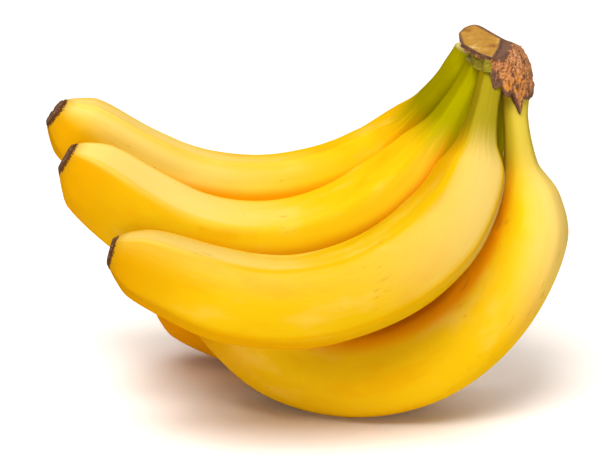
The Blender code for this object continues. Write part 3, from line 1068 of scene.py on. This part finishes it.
@dataclass(frozen=True)
class Finger:
    """One fruit: where it leaves the crown, how it bends, and how thick it is.

    Lengths are in millimetres and angles in degrees. The stalk and the tip hold shares of the
    girth at their own places, and the girth is the radius at the belly.
    """

    number: int
    root: Point
    heading: float
    lean: float
    pitch: float
    neck_bend: float
    body_bend: float
    tip_bend: float
    length: float
    girth: float
    splay: float
    toe: float
    face_angle: float
    stalk_shift: float
    end_slant: float
    stalk: tuple[float, ...]
    tip: tuple[float, ...]
    finish: PeelFinish
    face_half: float = BROAD_HALF
    crispness: float = 1.0
    ridge_share: float = 1.0

    def axes(self) -> tuple[Array, Array, Array]:
        """Directions of the fruit's own plane, which leans and is turned by its heading.

        Returns:
            Unit vectors outward, downward in the plane, and sideways out of it.
        """
        heading, lean = np.radians([self.heading, self.lean])
        up = np.array([0.0, 0.0, 1.0])
        outward = np.array([-np.cos(heading), -np.sin(heading), 0.0])
        across = np.array([np.sin(heading), -np.cos(heading), 0.0])
        downward = -np.cos(lean) * up + np.sin(lean) * across
        sideways = np.cos(lean) * across + np.sin(lean) * up
        return outward, downward, sideways

    def centreline(self) -> tuple[Array, Array, Array]:
        """Fine centreline from crown to flower end.

        The steepness falls by a smooth step at the neck, an eased ramp along the body and a
        smooth step at the tip; its direction is summed into points, which two more smooth
        steps move sideways and the stalk's own shift moves outward.

        Returns:
            Distances, points and unit tangents.
        """
        along = np.linspace(0.0, self.length, int(round(self.length / LINE_STEP)) + 1)
        body = (along - BODY_BEND_START) / (self.length - BODY_BEND_REST)
        pitch = np.radians(
            self.pitch
            - self.neck_bend * smooth_step((along - NECK_BEND[0]) / NECK_BEND[1])
            - self.body_bend * eased_ramp(body, BODY_BEND_EASE)
            - self.tip_bend * smooth_step((along - self.length + TIP_BEND[0]) / TIP_BEND[1])
        )[:, None]
        outward, downward, sideways = self.axes()
        direction = np.cos(pitch) * outward + np.sin(pitch) * downward
        steps = (direction[1:] + direction[:-1]) / 2.0 * (along[1] - along[0])
        points = np.vstack([np.zeros(3), np.cumsum(steps, axis=0)]) + np.array(self.root)
        aside = self.splay * smooth_step((along - SPLAY_RUN[0]) / SPLAY_RUN[1])
        aside = aside + self.toe * smooth_step((along - TOE_START) / (self.length - TOE_START))
        points = points + aside[:, None] * sideways
        over = self.stalk_shift * self.stalk_share(along)
        points = points + over[:, None] * outward
        tangents = np.gradient(points, along, axis=0)
        return along, points, tangents / np.linalg.norm(tangents, axis=1)[:, None]

    def frames(self, places: Array) -> tuple[Array, Array, Array, Array]:
        """Points and axes of the fruit.

        Args:
            places: Distances from the crown.

        Returns:
            Centres, and vectors forward, to the side and to the belly; the last one leans back
            towards the tip, which slants the fruit's end.
        """
        along, points, tangents = self.centreline()
        centres = np.stack([np.interp(places, along, row) for row in points.T], axis=1)
        forward = np.stack([np.interp(places, along, row) for row in tangents.T], axis=1)
        forward /= np.linalg.norm(forward, axis=1)[:, None]
        sideways = self.axes()[2]
        side = sideways - (forward @ sideways)[:, None] * forward
        side /= np.linalg.norm(side, axis=1)[:, None]
        near_end = smooth_step((places - self.length) / SLANT_LENGTH + 1.0)
        slant = np.tan(np.radians(self.end_slant)) * near_end
        return centres, forward, side, np.cross(side, forward) - slant[:, None] * forward

    def stalk_share(self, places: Array) -> Array:
        """Share of the stalk's shift: a smooth rise at the head, a smooth fall at the neck."""
        fall = smooth_step((places - STALK_NECK[0]) / STALK_NECK[1])
        return smooth_step(places / STALK_HEAD) * (1.0 - fall)

    def radius(self, places: Array) -> Array:
        """Radius of the fruit: a curve through shares of the girth.

        Args:
            places: Distances from the crown.

        Returns:
            The radius at each.
        """
        stations = list(zip(STALK_PLACES, self.stalk))
        stations.append((BELLY_PLACE * self.length, 1.0))
        stations.extend((self.length - back, share) for back, share in zip(TIP_PLACES, self.tip))
        return self.girth * station_curve(stations, places)

    def ridge_depth(self, places: Array) -> Array:
        """How far the ridges stand over the faces: a curve through shares of the radius.

        Args:
            places: Distances from the crown.

        Returns:
            The share at each.
        """
        stations = list(RIDGE_STATIONS)
        stations.extend((self.length - back, share) for back, share in RIDGE_TIP_STATIONS)
        return self.ridge_share * station_curve(stations, places)

    def turned(self, angles: Array) -> Array:
        """Angles counted from the middle of the broad face, from -180 to 180 degrees."""
        return (angles - self.face_angle + 180.0) % 360.0 - 180.0

    def ridge_wave(self, angles: Array) -> Array:
        """Height of the five ridges round the section: 0 on a face's middle, 1 on a ridge.

        The broad face takes its half angle to each side and the four others share the rest.
        The wave is that of a rounded five-sided outline, whose radius is a power mean of the
        distances to the two nearest faces.

        Args:
            angles: Angles round the section in degrees.

        Returns:
            The wave.
        """
        given, even = [0.0, self.face_half, 180.0], [0.0, HALF_FACE, 180.0]
        phase = np.interp(np.abs(self.turned(angles)), given, even)
        off = np.radians(np.abs((phase + HALF_FACE) % FACE_TURN - HALF_FACE))
        ridge = rounded_pentagon(np.radians(HALF_FACE))
        return (rounded_pentagon(off) - 1.0) / (ridge - 1.0)

    def facing(self, angles: Array) -> Array:
        """Angle that the skin faces, which changes little on a face and quickly at a ridge.

        Args:
            angles: Angles round the section in degrees.

        Returns:
            The facing angles in degrees: straight lines through pairs of given values, blended
            with the angle itself by the fruit's crispness.
        """
        turned = self.turned(angles)
        given, broad = [0.0, self.face_half, 180.0], [0.0, BROAD_HALF, 180.0]
        wide = np.interp(np.abs(turned), given, broad)
        faced = np.sign(turned) * np.interp(wide, *np.array(FACINGS).T)
        return self.face_angle + turned + (faced - turned) * self.crispness

    def sections(self, places: Array, angles: Array, shrink: float) -> Array:
        """Rings of points round the fruit, with soft unevenness that fades on the stalk.

        Args:
            places: Distance from the crown of each ring.
            angles: Angles round each ring in degrees.
            shrink: Factor on the radius.

        Returns:
            Points by ring and angle.
        """
        centres, _, side, belly = self.frames(places)
        swing = (self.ridge_wave(angles) - MEAN_WAVE)[None, :]
        wave = 1.0 + self.ridge_depth(places)[:, None] * swing
        reach = (self.radius(places) * shrink)[:, None] * wave
        skin = unrolled(places, angles, 0.0) / np.array(SKIN_STRETCH)
        uneven = ripple_sum(skin, SKIN_RIPPLES, self.number)
        uneven = uneven * np.clip(places / FADE_LENGTH, FADED_SHARE, 1.0)[:, None]
        return centres[:, None, :] + (reach + uneven)[:, :, None] * spokes(angles, side, belly)


@dataclass
class Peel:
    """Skin of one fruit, from the pale head of its stalk to the lip round its flower end."""

    finger: Finger
    columns: int = 120
    body_rows: int = 230
    dome_rows: int = 7
    lip_rows: int = 7
    end_density: float = 0.35
    dome_height: float = 0.4
    peel_ends_back: float = 2.4
    lip_depth: float = 0.8
    lip_radius: float = 5.6
    size_share: float = 0.994
    skin_offset: float = 400.0

    def places(self) -> Array:
        """Even places between dome and lip, less a sine that draws them to both ends.

        Returns:
            Distance from the crown of each ring.
        """
        end = self.finger.length - self.peel_ends_back
        t = np.linspace(0.0, 1.0, self.body_rows)
        return end * (t - self.end_density * np.sin(2.0 * np.pi * t) / (2.0 * np.pi))

    def build(self) -> bpy.types.Object:
        """Build the mesh with its marks.

        Returns:
            The object.
        """
        finger = self.finger
        angles = even_angles(self.columns)
        places = self.places()
        body = finger.sections(places, angles, self.size_share)
        head, dome, dome_places = self.dome(body[0])
        lip, lip_places = self.lip(body[-1])
        rings = np.concatenate([dome, body, lip])
        along = np.concatenate([dome_places, places, lip_places])
        tip = lip[-1].mean(axis=0)
        if finger.number in LOW_FRUITS:
            rings[..., 2] = np.maximum(rings[..., 2], FLAT_HEIGHT)
        marks = self.marks(rings, along, angles)
        obj = closed_skin(f"peel_{finger.number}", rings, head, tip, marks)
        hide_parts(f"banana_{finger.number}")
        return obj

    def dome(self, first: Array) -> tuple[Array, Array, Array]:
        """Rounded head of the stalk: the first ring drawn in along a quarter ellipse.

        Args:
            first: First ring of the body.

        Returns:
            The pole, the rings from the pole on, and their distances along.
        """
        centre, forward, _, _ = self.finger.frames(np.array([0.0]))
        height = self.dome_height * self.finger.radius(np.array([0.0]))[0]
        lift = np.radians(np.linspace(84.0, 12.0, self.dome_rows))
        drawn = centre[0] + (first[None] - centre[0]) * np.cos(lift)[:, None, None]
        rings = drawn - forward[0] * (height * np.sin(lift))[:, None, None]
        return centre[0] - forward[0] * height, rings, -height * np.sin(lift)

    def lip(self, last: Array) -> tuple[Array, Array]:
        """Rim that rolls in under the flower end: the last ring drawn in the same way.

        Args:
            last: Last ring of the body.

        Returns:
            The rings and their distances along.
        """
        end = self.finger.length - self.peel_ends_back
        centre, forward, _, _ = self.finger.frames(np.array([end]))
        turn = np.radians(np.linspace(12.0, 90.0, self.lip_rows))
        mean = np.linalg.norm(last - centre[0], axis=1).mean()
        draw = 1.0 - (1.0 - self.lip_radius / mean) * (1.0 - np.cos(turn))
        drawn = centre[0] + (last[None] - centre[0]) * draw[:, None, None]
        rings = drawn + forward[0] * (self.lip_depth * np.sin(turn))[:, None, None]
        return rings, end + self.lip_depth * np.sin(turn)

    def marks(self, rings: Array, along: Array, angles: Array) -> dict[str, Array]:
        """Values that the finish reads: distances, ridge, coordinates, facing and occlusion.

        The facing is how squarely the skin faces the light's side; the finish paints highlight and
        shade from it, and shade between the fruits from the occlusion.

        Args:
            rings: Points of the skin.
            along: Distance from the crown of each ring.
            angles: Angles round a ring.

        Returns:
            The values by name.
        """
        finger = self.finger
        flat = np.zeros((len(along), len(angles)))
        _, _, side, belly = finger.frames(np.clip(along, 0.0, finger.length))
        out = spokes(finger.facing(angles), side, belly)
        return {
            "painted_light_facing": out @ (np.array(PAINTED_LIGHT_SIDE) / np.linalg.norm(PAINTED_LIGHT_SIDE)),
            "along": along[:, None] + flat,
            "back": finger.length - along[:, None] + flat,
            "ridge": finger.ridge_share * finger.ridge_wave(angles)[None, :] + flat,
            "skin": unrolled(along, angles, self.skin_offset * finger.number),
            "occlusion_for_painted_light": self.occlusion_for_painted_light(rings, out),
        }

    def occlusion_for_painted_light(self, points: Array, out: Array) -> Array:
        """How much of its surroundings the skin sees filled by the other fruits; the finish paints
        shade and bounce light from it.

        Each other fruit is a row of balls along its centreline; one ball fills the cosine of
        the angle to it times the square of its radius over its distance, thinned by how far
        the balls overlap.

        Args:
            points: Points of the skin by ring and angle.
            out: Directions in which they face.

        Returns:
            The filled share by ring and angle.
        """
        filled = np.zeros(points.shape[:2])
        for other in FINGERS:
            if other.number == self.finger.number:
                continue
            places = np.arange(CROWD_STEP, other.length, CROWD_STEP)
            for centre, radius in zip(other.frames(places)[0], other.radius(places)):
                way = centre - points
                distance = np.linalg.norm(way, axis=-1)
                cosine = np.clip((way * out).sum(axis=-1) / distance, 0.0, None)
                near = np.minimum(radius / distance, 1.0) ** 2
                filled += cosine * near * CROWD_STEP / (2.0 * radius)
        return filled


@dataclass
class FlowerEnd:
    """Blunt dried remains of the flower, seated in the lip of the peel.

    The profile gives the distance back from the fruit's end and the radius, from the base to
    the hollow in the middle of the face.
    """

    finger: Finger
    columns: int = 80
    rows: int = 40
    profile: tuple[tuple[float, float], ...] = (
        (2.3, 5.5), (1.8, 6.0), (1.2, 6.1), (0.8, 5.8), (0.45, 5.2), (0.3, 4.3), (0.5, 2.9),
        (0.8, 1.6), (1.0, 0.5),
    )
    lobe_share: float = 0.05
    size_share: float = 0.985
    crumbs: Ripples = ((0.16, 3.2, 70), (0.09, 1.4, 80))
    highest_crumb: float = 0.12
    calm_radius: float = 3.0
    pits: Ripples = ((0.22, 2.4, 90),)
    least_sunk: float = 0.10
    skin_offset: float = 50.0

    def build(self) -> bpy.types.Object:
        """Build the mesh: a profile turned about the fruit's axis, lobed and crumbled.

        Returns:
            The object.
        """
        finger, number = self.finger, self.finger.number
        angles = even_angles(self.columns)
        t = np.linspace(0.0, 1.0, self.rows)
        steps = np.linspace(0.0, 1.0, len(self.profile))
        back, radius = (np.interp(t, steps, column) for column in np.array(self.profile).T)
        centres, forward, side, belly = finger.frames(finger.length - back)
        plan = compass(angles)[None] * radius[:, None, None]
        height = np.broadcast_to(back[:, None, None], (self.rows, self.columns, 1))
        place = np.concatenate([plan, height], axis=-1)
        lobes = 1.0 + self.lobe_share * (finger.ridge_wave(angles) - MEAN_WAVE)[None, :]
        crumble = ripple_sum(place, self.crumbs, number)
        crumble = crumble * smooth_step(radius / self.calm_radius)[:, None]
        reach = radius[:, None] * lobes * self.size_share + np.minimum(crumble, self.highest_crumb)
        rings = centres[:, None, :] + reach[..., None] * spokes(angles, side, belly)
        sunk = self.least_sunk + np.abs(ripple_sum(place, self.pits, number))
        sunk = sunk * smooth_step(t[:, None] * 3.0 - 0.5)
        rings = rings - sunk[..., None] * forward[:, None, :]
        heart = rings[-1].mean(axis=0)
        offset = np.array([0.0, 0.0, self.skin_offset * number])
        marks = {"skin": place + offset}
        obj = closed_skin(f"dried_flower_{number}", rings, centres[0], heart, marks)
        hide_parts(f"flower_end_{finger.number}")
        return obj


# Crown


@dataclass
class Crown:
    """Crown: a tilted oval cut with a raised bark rim, over dried skin with a torn edge.

    The waist inset pairs an angle with how far the waist lies inside the root's oval. The edge
    gives, by angle, the height of the torn edge, the share of the overhanging slab and the
    share of the rounded flank.
    """

    columns: int = 420
    under_rows: int = 10
    side_rows: int = 90
    face_rows: int = 46
    cut_centre: tuple[float, float] = (71.0, 7.6)
    rim_corners: tuple[tuple[float, float], ...] = (
        (61.4, 15.5), (64.6, 22.2), (69.2, 25.4), (80.9, 7.2), (79.2, -2.0), (75.2, -10.4),
        (68.9, -4.8), (62.7, 4.2),
    )
    cut_corners: tuple[tuple[float, float], ...] = (
        (62.1, 15.4), (65.0, 21.4), (68.4, 23.4), (77.6, 9.4), (76.2, 1.0), (73.2, -7.8),
        (68.9, -3.8), (63.2, 4.8),
    )
    corner_softness: float = 5.0
    cut_height: float = 152.3
    cut_slope: float = 0.14
    root_centre: tuple[float, float] = (76.7, 8.4)
    root_half: tuple[float, float] = (15.0, 16.8)
    root_power: float = 2.4
    root_top: Point = (76.0, 9.0, 134.0)
    slab_thickness: float = 2.2
    slab_levels: tuple[float, float] = (0.54, 0.62)
    tissue_level: float = 0.66
    waist_inset: tuple[tuple[float, float], ...] = (
        (235.0, 4.5), (250.0, 0.8), (275.0, 0.8), (290.0, 4.5),
    )
    flank_power: float = 0.88
    torn_ripples: Ripples = ((0.30, 2.6, 11), (0.22, 1.1, 12))
    torn_radius: float = 15.0
    most_torn: float = 0.8
    bark_ripples: Ripples = ((0.22, 4.2, 31), (0.14, 1.7, 32))
    bark_inset: float = 0.25
    lip_height: float = 0.35
    lip_bell: tuple[float, float] = (-0.5, 0.5)
    groove_depth: float = 0.6
    groove_bell: tuple[float, float] = (-2.0, 1.1)
    cut_depth: float = 0.45
    dark_angle: float = 263.0
    warm_middle: Point = (82.0, -3.0, 139.0)
    warm_reach: Point = (7.0, 9.0, 6.0)
    edge: tuple[tuple[float, float, float, float], ...] = (
        (0.0, 132.5, 0.0, 1.0), (40.0, 131.5, 0.0, 0.2), (90.0, 137.0, 0.4, 0.0),
        (125.0, 144.0, 1.0, 0.0), (240.0, 144.0, 1.0, 0.0), (250.0, 145.0, 1.0, 0.0),
        (260.0, 144.8, 1.0, 0.0), (262.0, 139.0, 0.0, 0.3), (265.0, 137.9, 0.0, 0.3),
        (268.0, 138.4, 0.0, 0.4), (271.0, 139.7, 0.0, 0.5), (274.0, 136.5, 0.0, 0.6),
        (277.0, 134.5, 0.0, 0.7), (286.0, 136.1, 0.0, 0.8), (290.0, 135.3, 0.0, 0.9),
        (301.0, 126.4, 0.0, 1.0), (307.0, 133.2, 0.0, 1.0), (313.0, 133.3, 0.0, 1.0),
        (328.0, 132.0, 0.0, 1.0),
    )

    def root_oval(self, angles: Array) -> Array:
        """Oval in plan under the torn edge: cosine and sine raised to two over a power.

        A power of 2 would give an ellipse; a higher one makes the oval squarer.

        Args:
            angles: Angles round it in degrees.

        Returns:
            Points in plan.
        """
        circle = compass(angles)
        stretched = np.sign(circle) * np.abs(circle) ** (2.0 / self.root_power)
        return np.array(self.root_centre) + np.array(self.root_half) * stretched

    def side(self, angles: Array) -> tuple[Array, Array]:
        """Side of the crown from its torn lower edge to the rim of the cut.

        Two profiles are blended by the edge table: a rounded flank, whose plan goes in by one
        minus a cosine while its height goes up by a power of a sine, and a slab that overhangs
        a waist.

        Args:
            angles: Angles round the crown.

        Returns:
            Rings of points, and the slab's share at each angle.
        """
        where, *columns = np.array(self.edge).T
        low, slab, full = (np.interp(angles, where, column, period=360.0) for column in columns)
        torn = ripple_sum(compass(angles) * self.torn_radius, self.torn_ripples)
        low = low + np.clip(torn, -self.most_torn, self.most_torn) * (1.0 - slab)
        cut = corner_outline(self.rim_corners, self.cut_centre, angles, self.corner_softness)
        root = self.root_oval(angles)
        inset = np.interp(angles, *np.array(self.waist_inset).T)[:, None]
        outward = root - np.array(self.root_centre)
        waist = root - outward / np.linalg.norm(outward, axis=1)[:, None] * inset
        top = self.cut_height + self.cut_slope * cut[:, 1]
        level = np.linspace(0.0, 1.0, self.side_rows)[:, None]
        lift = np.pi / 2.0 * level
        inward = level + (1.0 - np.cos(lift) - level) * full
        upward = level + (np.sin(lift) ** self.flank_power - level) * full
        flank = root[None] + (cut - root)[None] * inward[..., None]
        flank_height = low + (top - low) * upward
        under = top - self.slab_thickness
        ledge_start, ledge_end = self.slab_levels
        out = smooth_step((level - ledge_start) / (ledge_end - ledge_start))
        ledge = waist[None] + (cut - waist)[None] * out[..., None]
        wall = low + (under - low) * np.clip(level / ledge_start, 0.0, 1.0)
        over = np.clip((level - ledge_end) / (1.0 - ledge_end), 0.0, 1.0)
        wall = wall + self.slab_thickness * over
        plan = flank + (ledge - flank) * slab[None, :, None]
        height = flank_height + (wall - flank_height) * slab
        return np.concatenate([plan, height[..., None]], axis=-1), slab

    def roughen(self, side: Array) -> None:
        """Push the side in and out in plan, less so at its torn edge and its rim.

        Args:
            side: Rings of the side, which are changed.
        """
        outward = side[..., :2] - np.array(self.root_centre)
        outward /= np.linalg.norm(outward, axis=-1)[..., None]
        rough = ripple_sum(side, self.bark_ripples) - self.bark_inset
        level = np.linspace(0.0, 1.0, self.side_rows)
        fade = smooth_step(level * 9.0) * smooth_step((1.0 - level) * 9.0)
        side[..., :2] += outward * (rough * fade[:, None])[..., None]

    def face(self, rim: Array) -> tuple[Array, Array]:
        """Cut face inside a raised bark lip: the rim ring drawn in to its middle.

        The lip and the groove round it are bell curves of the depth inside the cut's outline,
        each given by its middle and width, and the face is sunk by a smooth step of that depth.

        Args:
            rim: Top ring of the side.

        Returns:
            Rings of points from rim to middle, and how deep inside the cut they lie.
        """
        middle = np.array([*self.cut_centre, self.cut_height + self.cut_slope * self.cut_centre[1]])
        t = np.linspace(0.0, 1.0, self.face_rows + 1)[1:-1] ** 1.25
        rings = rim[None] + (middle - rim)[None] * t[:, None, None]
        inside = polygon_depth(self.cut_corners, rings[..., :2])
        lip = self.lip_height * bell(inside, *self.lip_bell)
        groove = self.groove_depth * bell(inside, *self.groove_bell)
        sunk = self.cut_depth * smooth_step((inside + 0.2) / 0.9) + groove
        fibre = 0.10 * ripple(rings * np.array([1.0, 1.0, 0.0]), 3.0, 21)
        fibre = fibre + 0.06 * ripple(rings * np.array([2.0, 0.6, 0.0]), 1.6, 22)
        raised = lip - sunk + fibre * smooth_step(inside / 1.5)
        rings[..., 2] += raised * smooth_step(t * 12.0)[:, None]
        return rings, inside

    def build(self) -> bpy.types.Object:
        """Build the mesh with its marks: the underside, the side and the cut face.

        Returns:
            The object.
        """
        angles = even_angles(self.columns)
        side, slab = self.side(angles)
        self.roughen(side)
        face, inside = self.face(side[-1])
        top = np.array(self.root_top)
        t = np.linspace(0.0, 1.0, self.under_rows + 1)[1:-1]
        under = top + (side[0] - top)[None] * t[:, None, None]
        rings = np.concatenate([under, side, face])
        middle = face[-1].mean(axis=0)
        marks = self.marks(rings, inside, slab, angles)
        obj = closed_skin("crown_skin", rings, top, middle, marks)
        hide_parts("crown")
        return obj

    def marks(self, rings: Array, inside: Array, slab: Array, angles: Array) -> dict[str, Array]:
        """Masks that the finish reads, from distances to the rim, the torn edge and one patch.

        Args:
            rings: All rings.
            inside: Depth inside the cut's outline, on the top.
            slab: Share of the overhanging slab at each angle.
            angles: Angles round the crown.

        Returns:
            The values by name.
        """
        start = self.under_rows - 1
        stop = start + self.side_rows
        side = rings[start:stop]
        cut = np.zeros(rings.shape[:2])
        cut[stop:] = smooth_step((inside + 0.35) / 0.5)
        below_rim = np.linalg.norm(side - side[-1], axis=-1)
        above_edge = np.linalg.norm(side - side[0], axis=-1)
        near = np.maximum(1.0 - below_rim / 4.0, 1.0 - above_edge / 3.0)
        near = np.maximum(near, 1.0 - np.abs((angles - self.dark_angle) / 12.0))
        dark = np.ones(rings.shape[:2])
        dark[start:stop] = np.clip(near + 0.15, 0.0, 1.0)
        tissue = np.zeros(rings.shape[:2])
        level = np.linspace(0.0, 1.0, self.side_rows)[:, None]
        tissue[start:stop] = slab[None, :] * smooth_step((self.tissue_level - level) / 0.08)
        tissue[:start] = slab[None, :] * 0.8
        off = (rings - np.array(self.warm_middle)) / np.array(self.warm_reach)
        warm = np.exp(-(off**2).sum(axis=-1))
        return {"cut": cut, "dark": dark, "tissue": tissue, "warm": warm, "skin": rings}


# Studio


@dataclass(frozen=True)
class Lamp:
    """One square soft lamp: its place, what it faces, its side in metres and its watts."""

    name: str
    place: Point
    target: Point
    size: float
    power: float

    def hang(self) -> None:
        """Hang the lamp so that it faces its target."""
        light = bpy.data.lights.new(self.name, "AREA")
        light.size, light.energy = self.size, self.power
        lamp = bpy.data.objects.new(self.name, light)
        lamp.location = self.place
        way = Vector(self.target) - Vector(self.place)
        lamp.rotation_mode = "QUATERNION"
        lamp.rotation_quaternion = way.to_track_quat("-Z", "Y")
        bpy.context.scene.collection.objects.link(lamp)


@dataclass
class Studio:
    """Pale floor, a key lamp above the front, a wash on the floor behind, fills and the camera."""

    floor_reach: float = 5.0
    floor_drop: float = 1e-4
    camera_place: Point = (0.00045, -0.93883, 0.41652)
    camera_pitch: float = 70.0
    lens: float = 144.12
    sensor_width: float = 36.0
    clip_range: tuple[float, float] = (0.05, 50.0)
    sky: float = 0.06
    lamps: tuple[Lamp, ...] = (
        Lamp("key_above", (-0.20, -0.60, 1.27), (0.0, 0.0, 0.05), 0.8, 27.5),
        Lamp("wash_behind", (-0.10, 1.25, 1.60), (-0.10, 1.05, 0.0), 2.2, 30.0),
        Lamp("fill_right", (0.95, -0.70, 0.60), (0.04, 0.0, 0.07), 0.7, 1.0),
        Lamp("front_high", (-0.25, -1.15, 0.95), (0.0, 0.0, 0.06), 0.7, 0.6),
        Lamp("front_low", (-0.20, -1.55, 0.13), (0.0, 0.0, 0.04), 0.7, 13.5),
    )

    def build(self) -> None:
        """Build floor, sky, lamps and camera."""
        self.build_floor()
        self.build_sky()
        for lamp in self.lamps:
            lamp.hang()
        self.build_camera()

    def build_floor(self) -> None:
        """Lay the floor just under the bellies, as a plain square."""
        corners = ((-1, -1), (1, -1), (1, 1), (-1, 1))
        points = [(self.floor_reach * x, self.floor_reach * y, -self.floor_drop) for x, y in corners]
        mesh = bpy.data.meshes.new("floor")
        mesh.from_pydata(points, [], [(0, 1, 2, 3)])
        floor = bpy.data.objects.new("floor", mesh)
        mesh.materials.append(FloorFinish().material("pale_floor"))
        bpy.context.scene.collection.objects.link(floor)

    def build_sky(self) -> None:
        """Even soft light from all round, and plain display colours."""
        world = bpy.data.worlds.new("studio")
        world.use_nodes = True
        background = world.node_tree.nodes["Background"]
        background.inputs["Color"].default_value = WHITE
        background.inputs["Strength"].default_value = self.sky
        bpy.context.scene.world = world
        bpy.context.scene.view_settings.view_transform = "Standard"

    def build_camera(self) -> None:
        """Set the camera one metre off, twenty degrees above the floor."""
        camera = bpy.data.cameras.new("camera")
        camera.lens, camera.sensor_width = self.lens, self.sensor_width
        camera.clip_start, camera.clip_end = self.clip_range
        seat = bpy.data.objects.new("camera", camera)
        seat.location = self.camera_place
        seat.rotation_euler = (float(np.radians(self.camera_pitch)), 0.0, 0.0)
        bpy.context.scene.collection.objects.link(seat)
        bpy.context.scene.camera = seat


FINGERS = (
    Finger(
        number=1, root=(65.5, 23.0, 145.0), heading=1.5, lean=2.0, pitch=62.5,
        neck_bend=38.0, body_bend=59.5, tip_bend=4.0, length=214.0, girth=18.8,
        splay=-17.2, toe=8.3, face_angle=-12.0, stalk_shift=0.7, end_slant=0.0,
        stalk=(0.30, 0.30, 0.42, 0.70, 0.89, 0.99, 1.0), tip=(0.99, 0.91, 0.79, 0.54, 0.23),
        finish=PeelFinish(Ripeness.GREEN, tone=0.85), crispness=0.3,
    ),
    Finger(
        number=2, root=(69.5, 11.5, 142.5), heading=2.5, lean=9.0, pitch=61.0,
        neck_bend=27.5, body_bend=69.0, tip_bend=4.0, length=213.4, girth=18.4,
        splay=1.5, toe=3.0, face_angle=18.0, stalk_shift=-0.9, end_slant=8.0,
        stalk=(0.30, 0.30, 0.42, 0.71, 0.89, 0.99, 1.0), tip=(0.99, 0.905, 0.78, 0.54, 0.23),
        finish=PeelFinish(Ripeness.GREEN),
    ),
    Finger(
        number=3, root=(74.5, 0.0, 143.0), heading=2.5, lean=26.0, pitch=77.0,
        neck_bend=34.0, body_bend=65.5, tip_bend=1.0, length=211.5, girth=18.8,
        splay=3.0, toe=-1.0, face_angle=8.0, stalk_shift=0.4, end_slant=8.0,
        stalk=(0.30, 0.30, 0.42, 0.75, 0.86, 0.97, 1.0), tip=(0.98, 0.88, 0.75, 0.53, 0.23),
        finish=PeelFinish(Ripeness.SOFT_GREEN, tone=0.76, painted_ridge_shade_strength=0.8, painted_shade_depth=0.85),
        face_half=42.0,
    ),
    Finger(
        number=4, root=(84.0, 2.5, 133.5), heading=-22.0, lean=21.0, pitch=100.5,
        neck_bend=30.5, body_bend=93.5, tip_bend=13.0, length=232.0, girth=19.4,
        splay=-11.0, toe=11.5, face_angle=12.0, stalk_shift=0.5, end_slant=0.0,
        stalk=(0.30, 0.265, 0.36, 0.75, 0.955, 0.94, 0.945), tip=(0.98, 0.89, 0.77, 0.54, 0.23),
        finish=PeelFinish(Ripeness.STRAW, tone=0.93, painted_shade_onset=0.44, painted_shade_depth=0.45),
        crispness=0.1, ridge_share=0.4,
    ),
    Finger(
        number=5, root=(79.6, 14.4, 132.0), heading=-13.0, lean=0.0, pitch=77.5,
        neck_bend=19.0, body_bend=66.0, tip_bend=9.5, length=219.0, girth=18.6,
        splay=-2.0, toe=-1.0, face_angle=0.0, stalk_shift=0.0, end_slant=0.0,
        stalk=(0.30, 0.285, 0.39, 0.66, 0.82, 0.94, 0.99), tip=(0.98, 0.89, 0.77, 0.54, 0.23),
        finish=PeelFinish(Ripeness.GREEN, painted_shade_onset=0.0, painted_shade_depth=0.85, painted_end_shade=0.75),
    ),
)


def main() -> None:
    """Build every piece in order."""
    logging.basicConfig(level=logging.INFO, format="%(name)s %(message)s")
    Studio().build()
    effects = Effects()
    dried = FlowerFinish().material("dried_flower", effects)
    for finger in FINGERS:
        peel = Peel(finger).build()
        dress(peel, finger.finish.material(f"banana_skin_{finger.number}", effects))
        dress(FlowerEnd(finger).build(), dried)
    dress(Crown().build(), CrownFinish().material("dried_crown", effects))


if __name__ == "__main__":
    main()
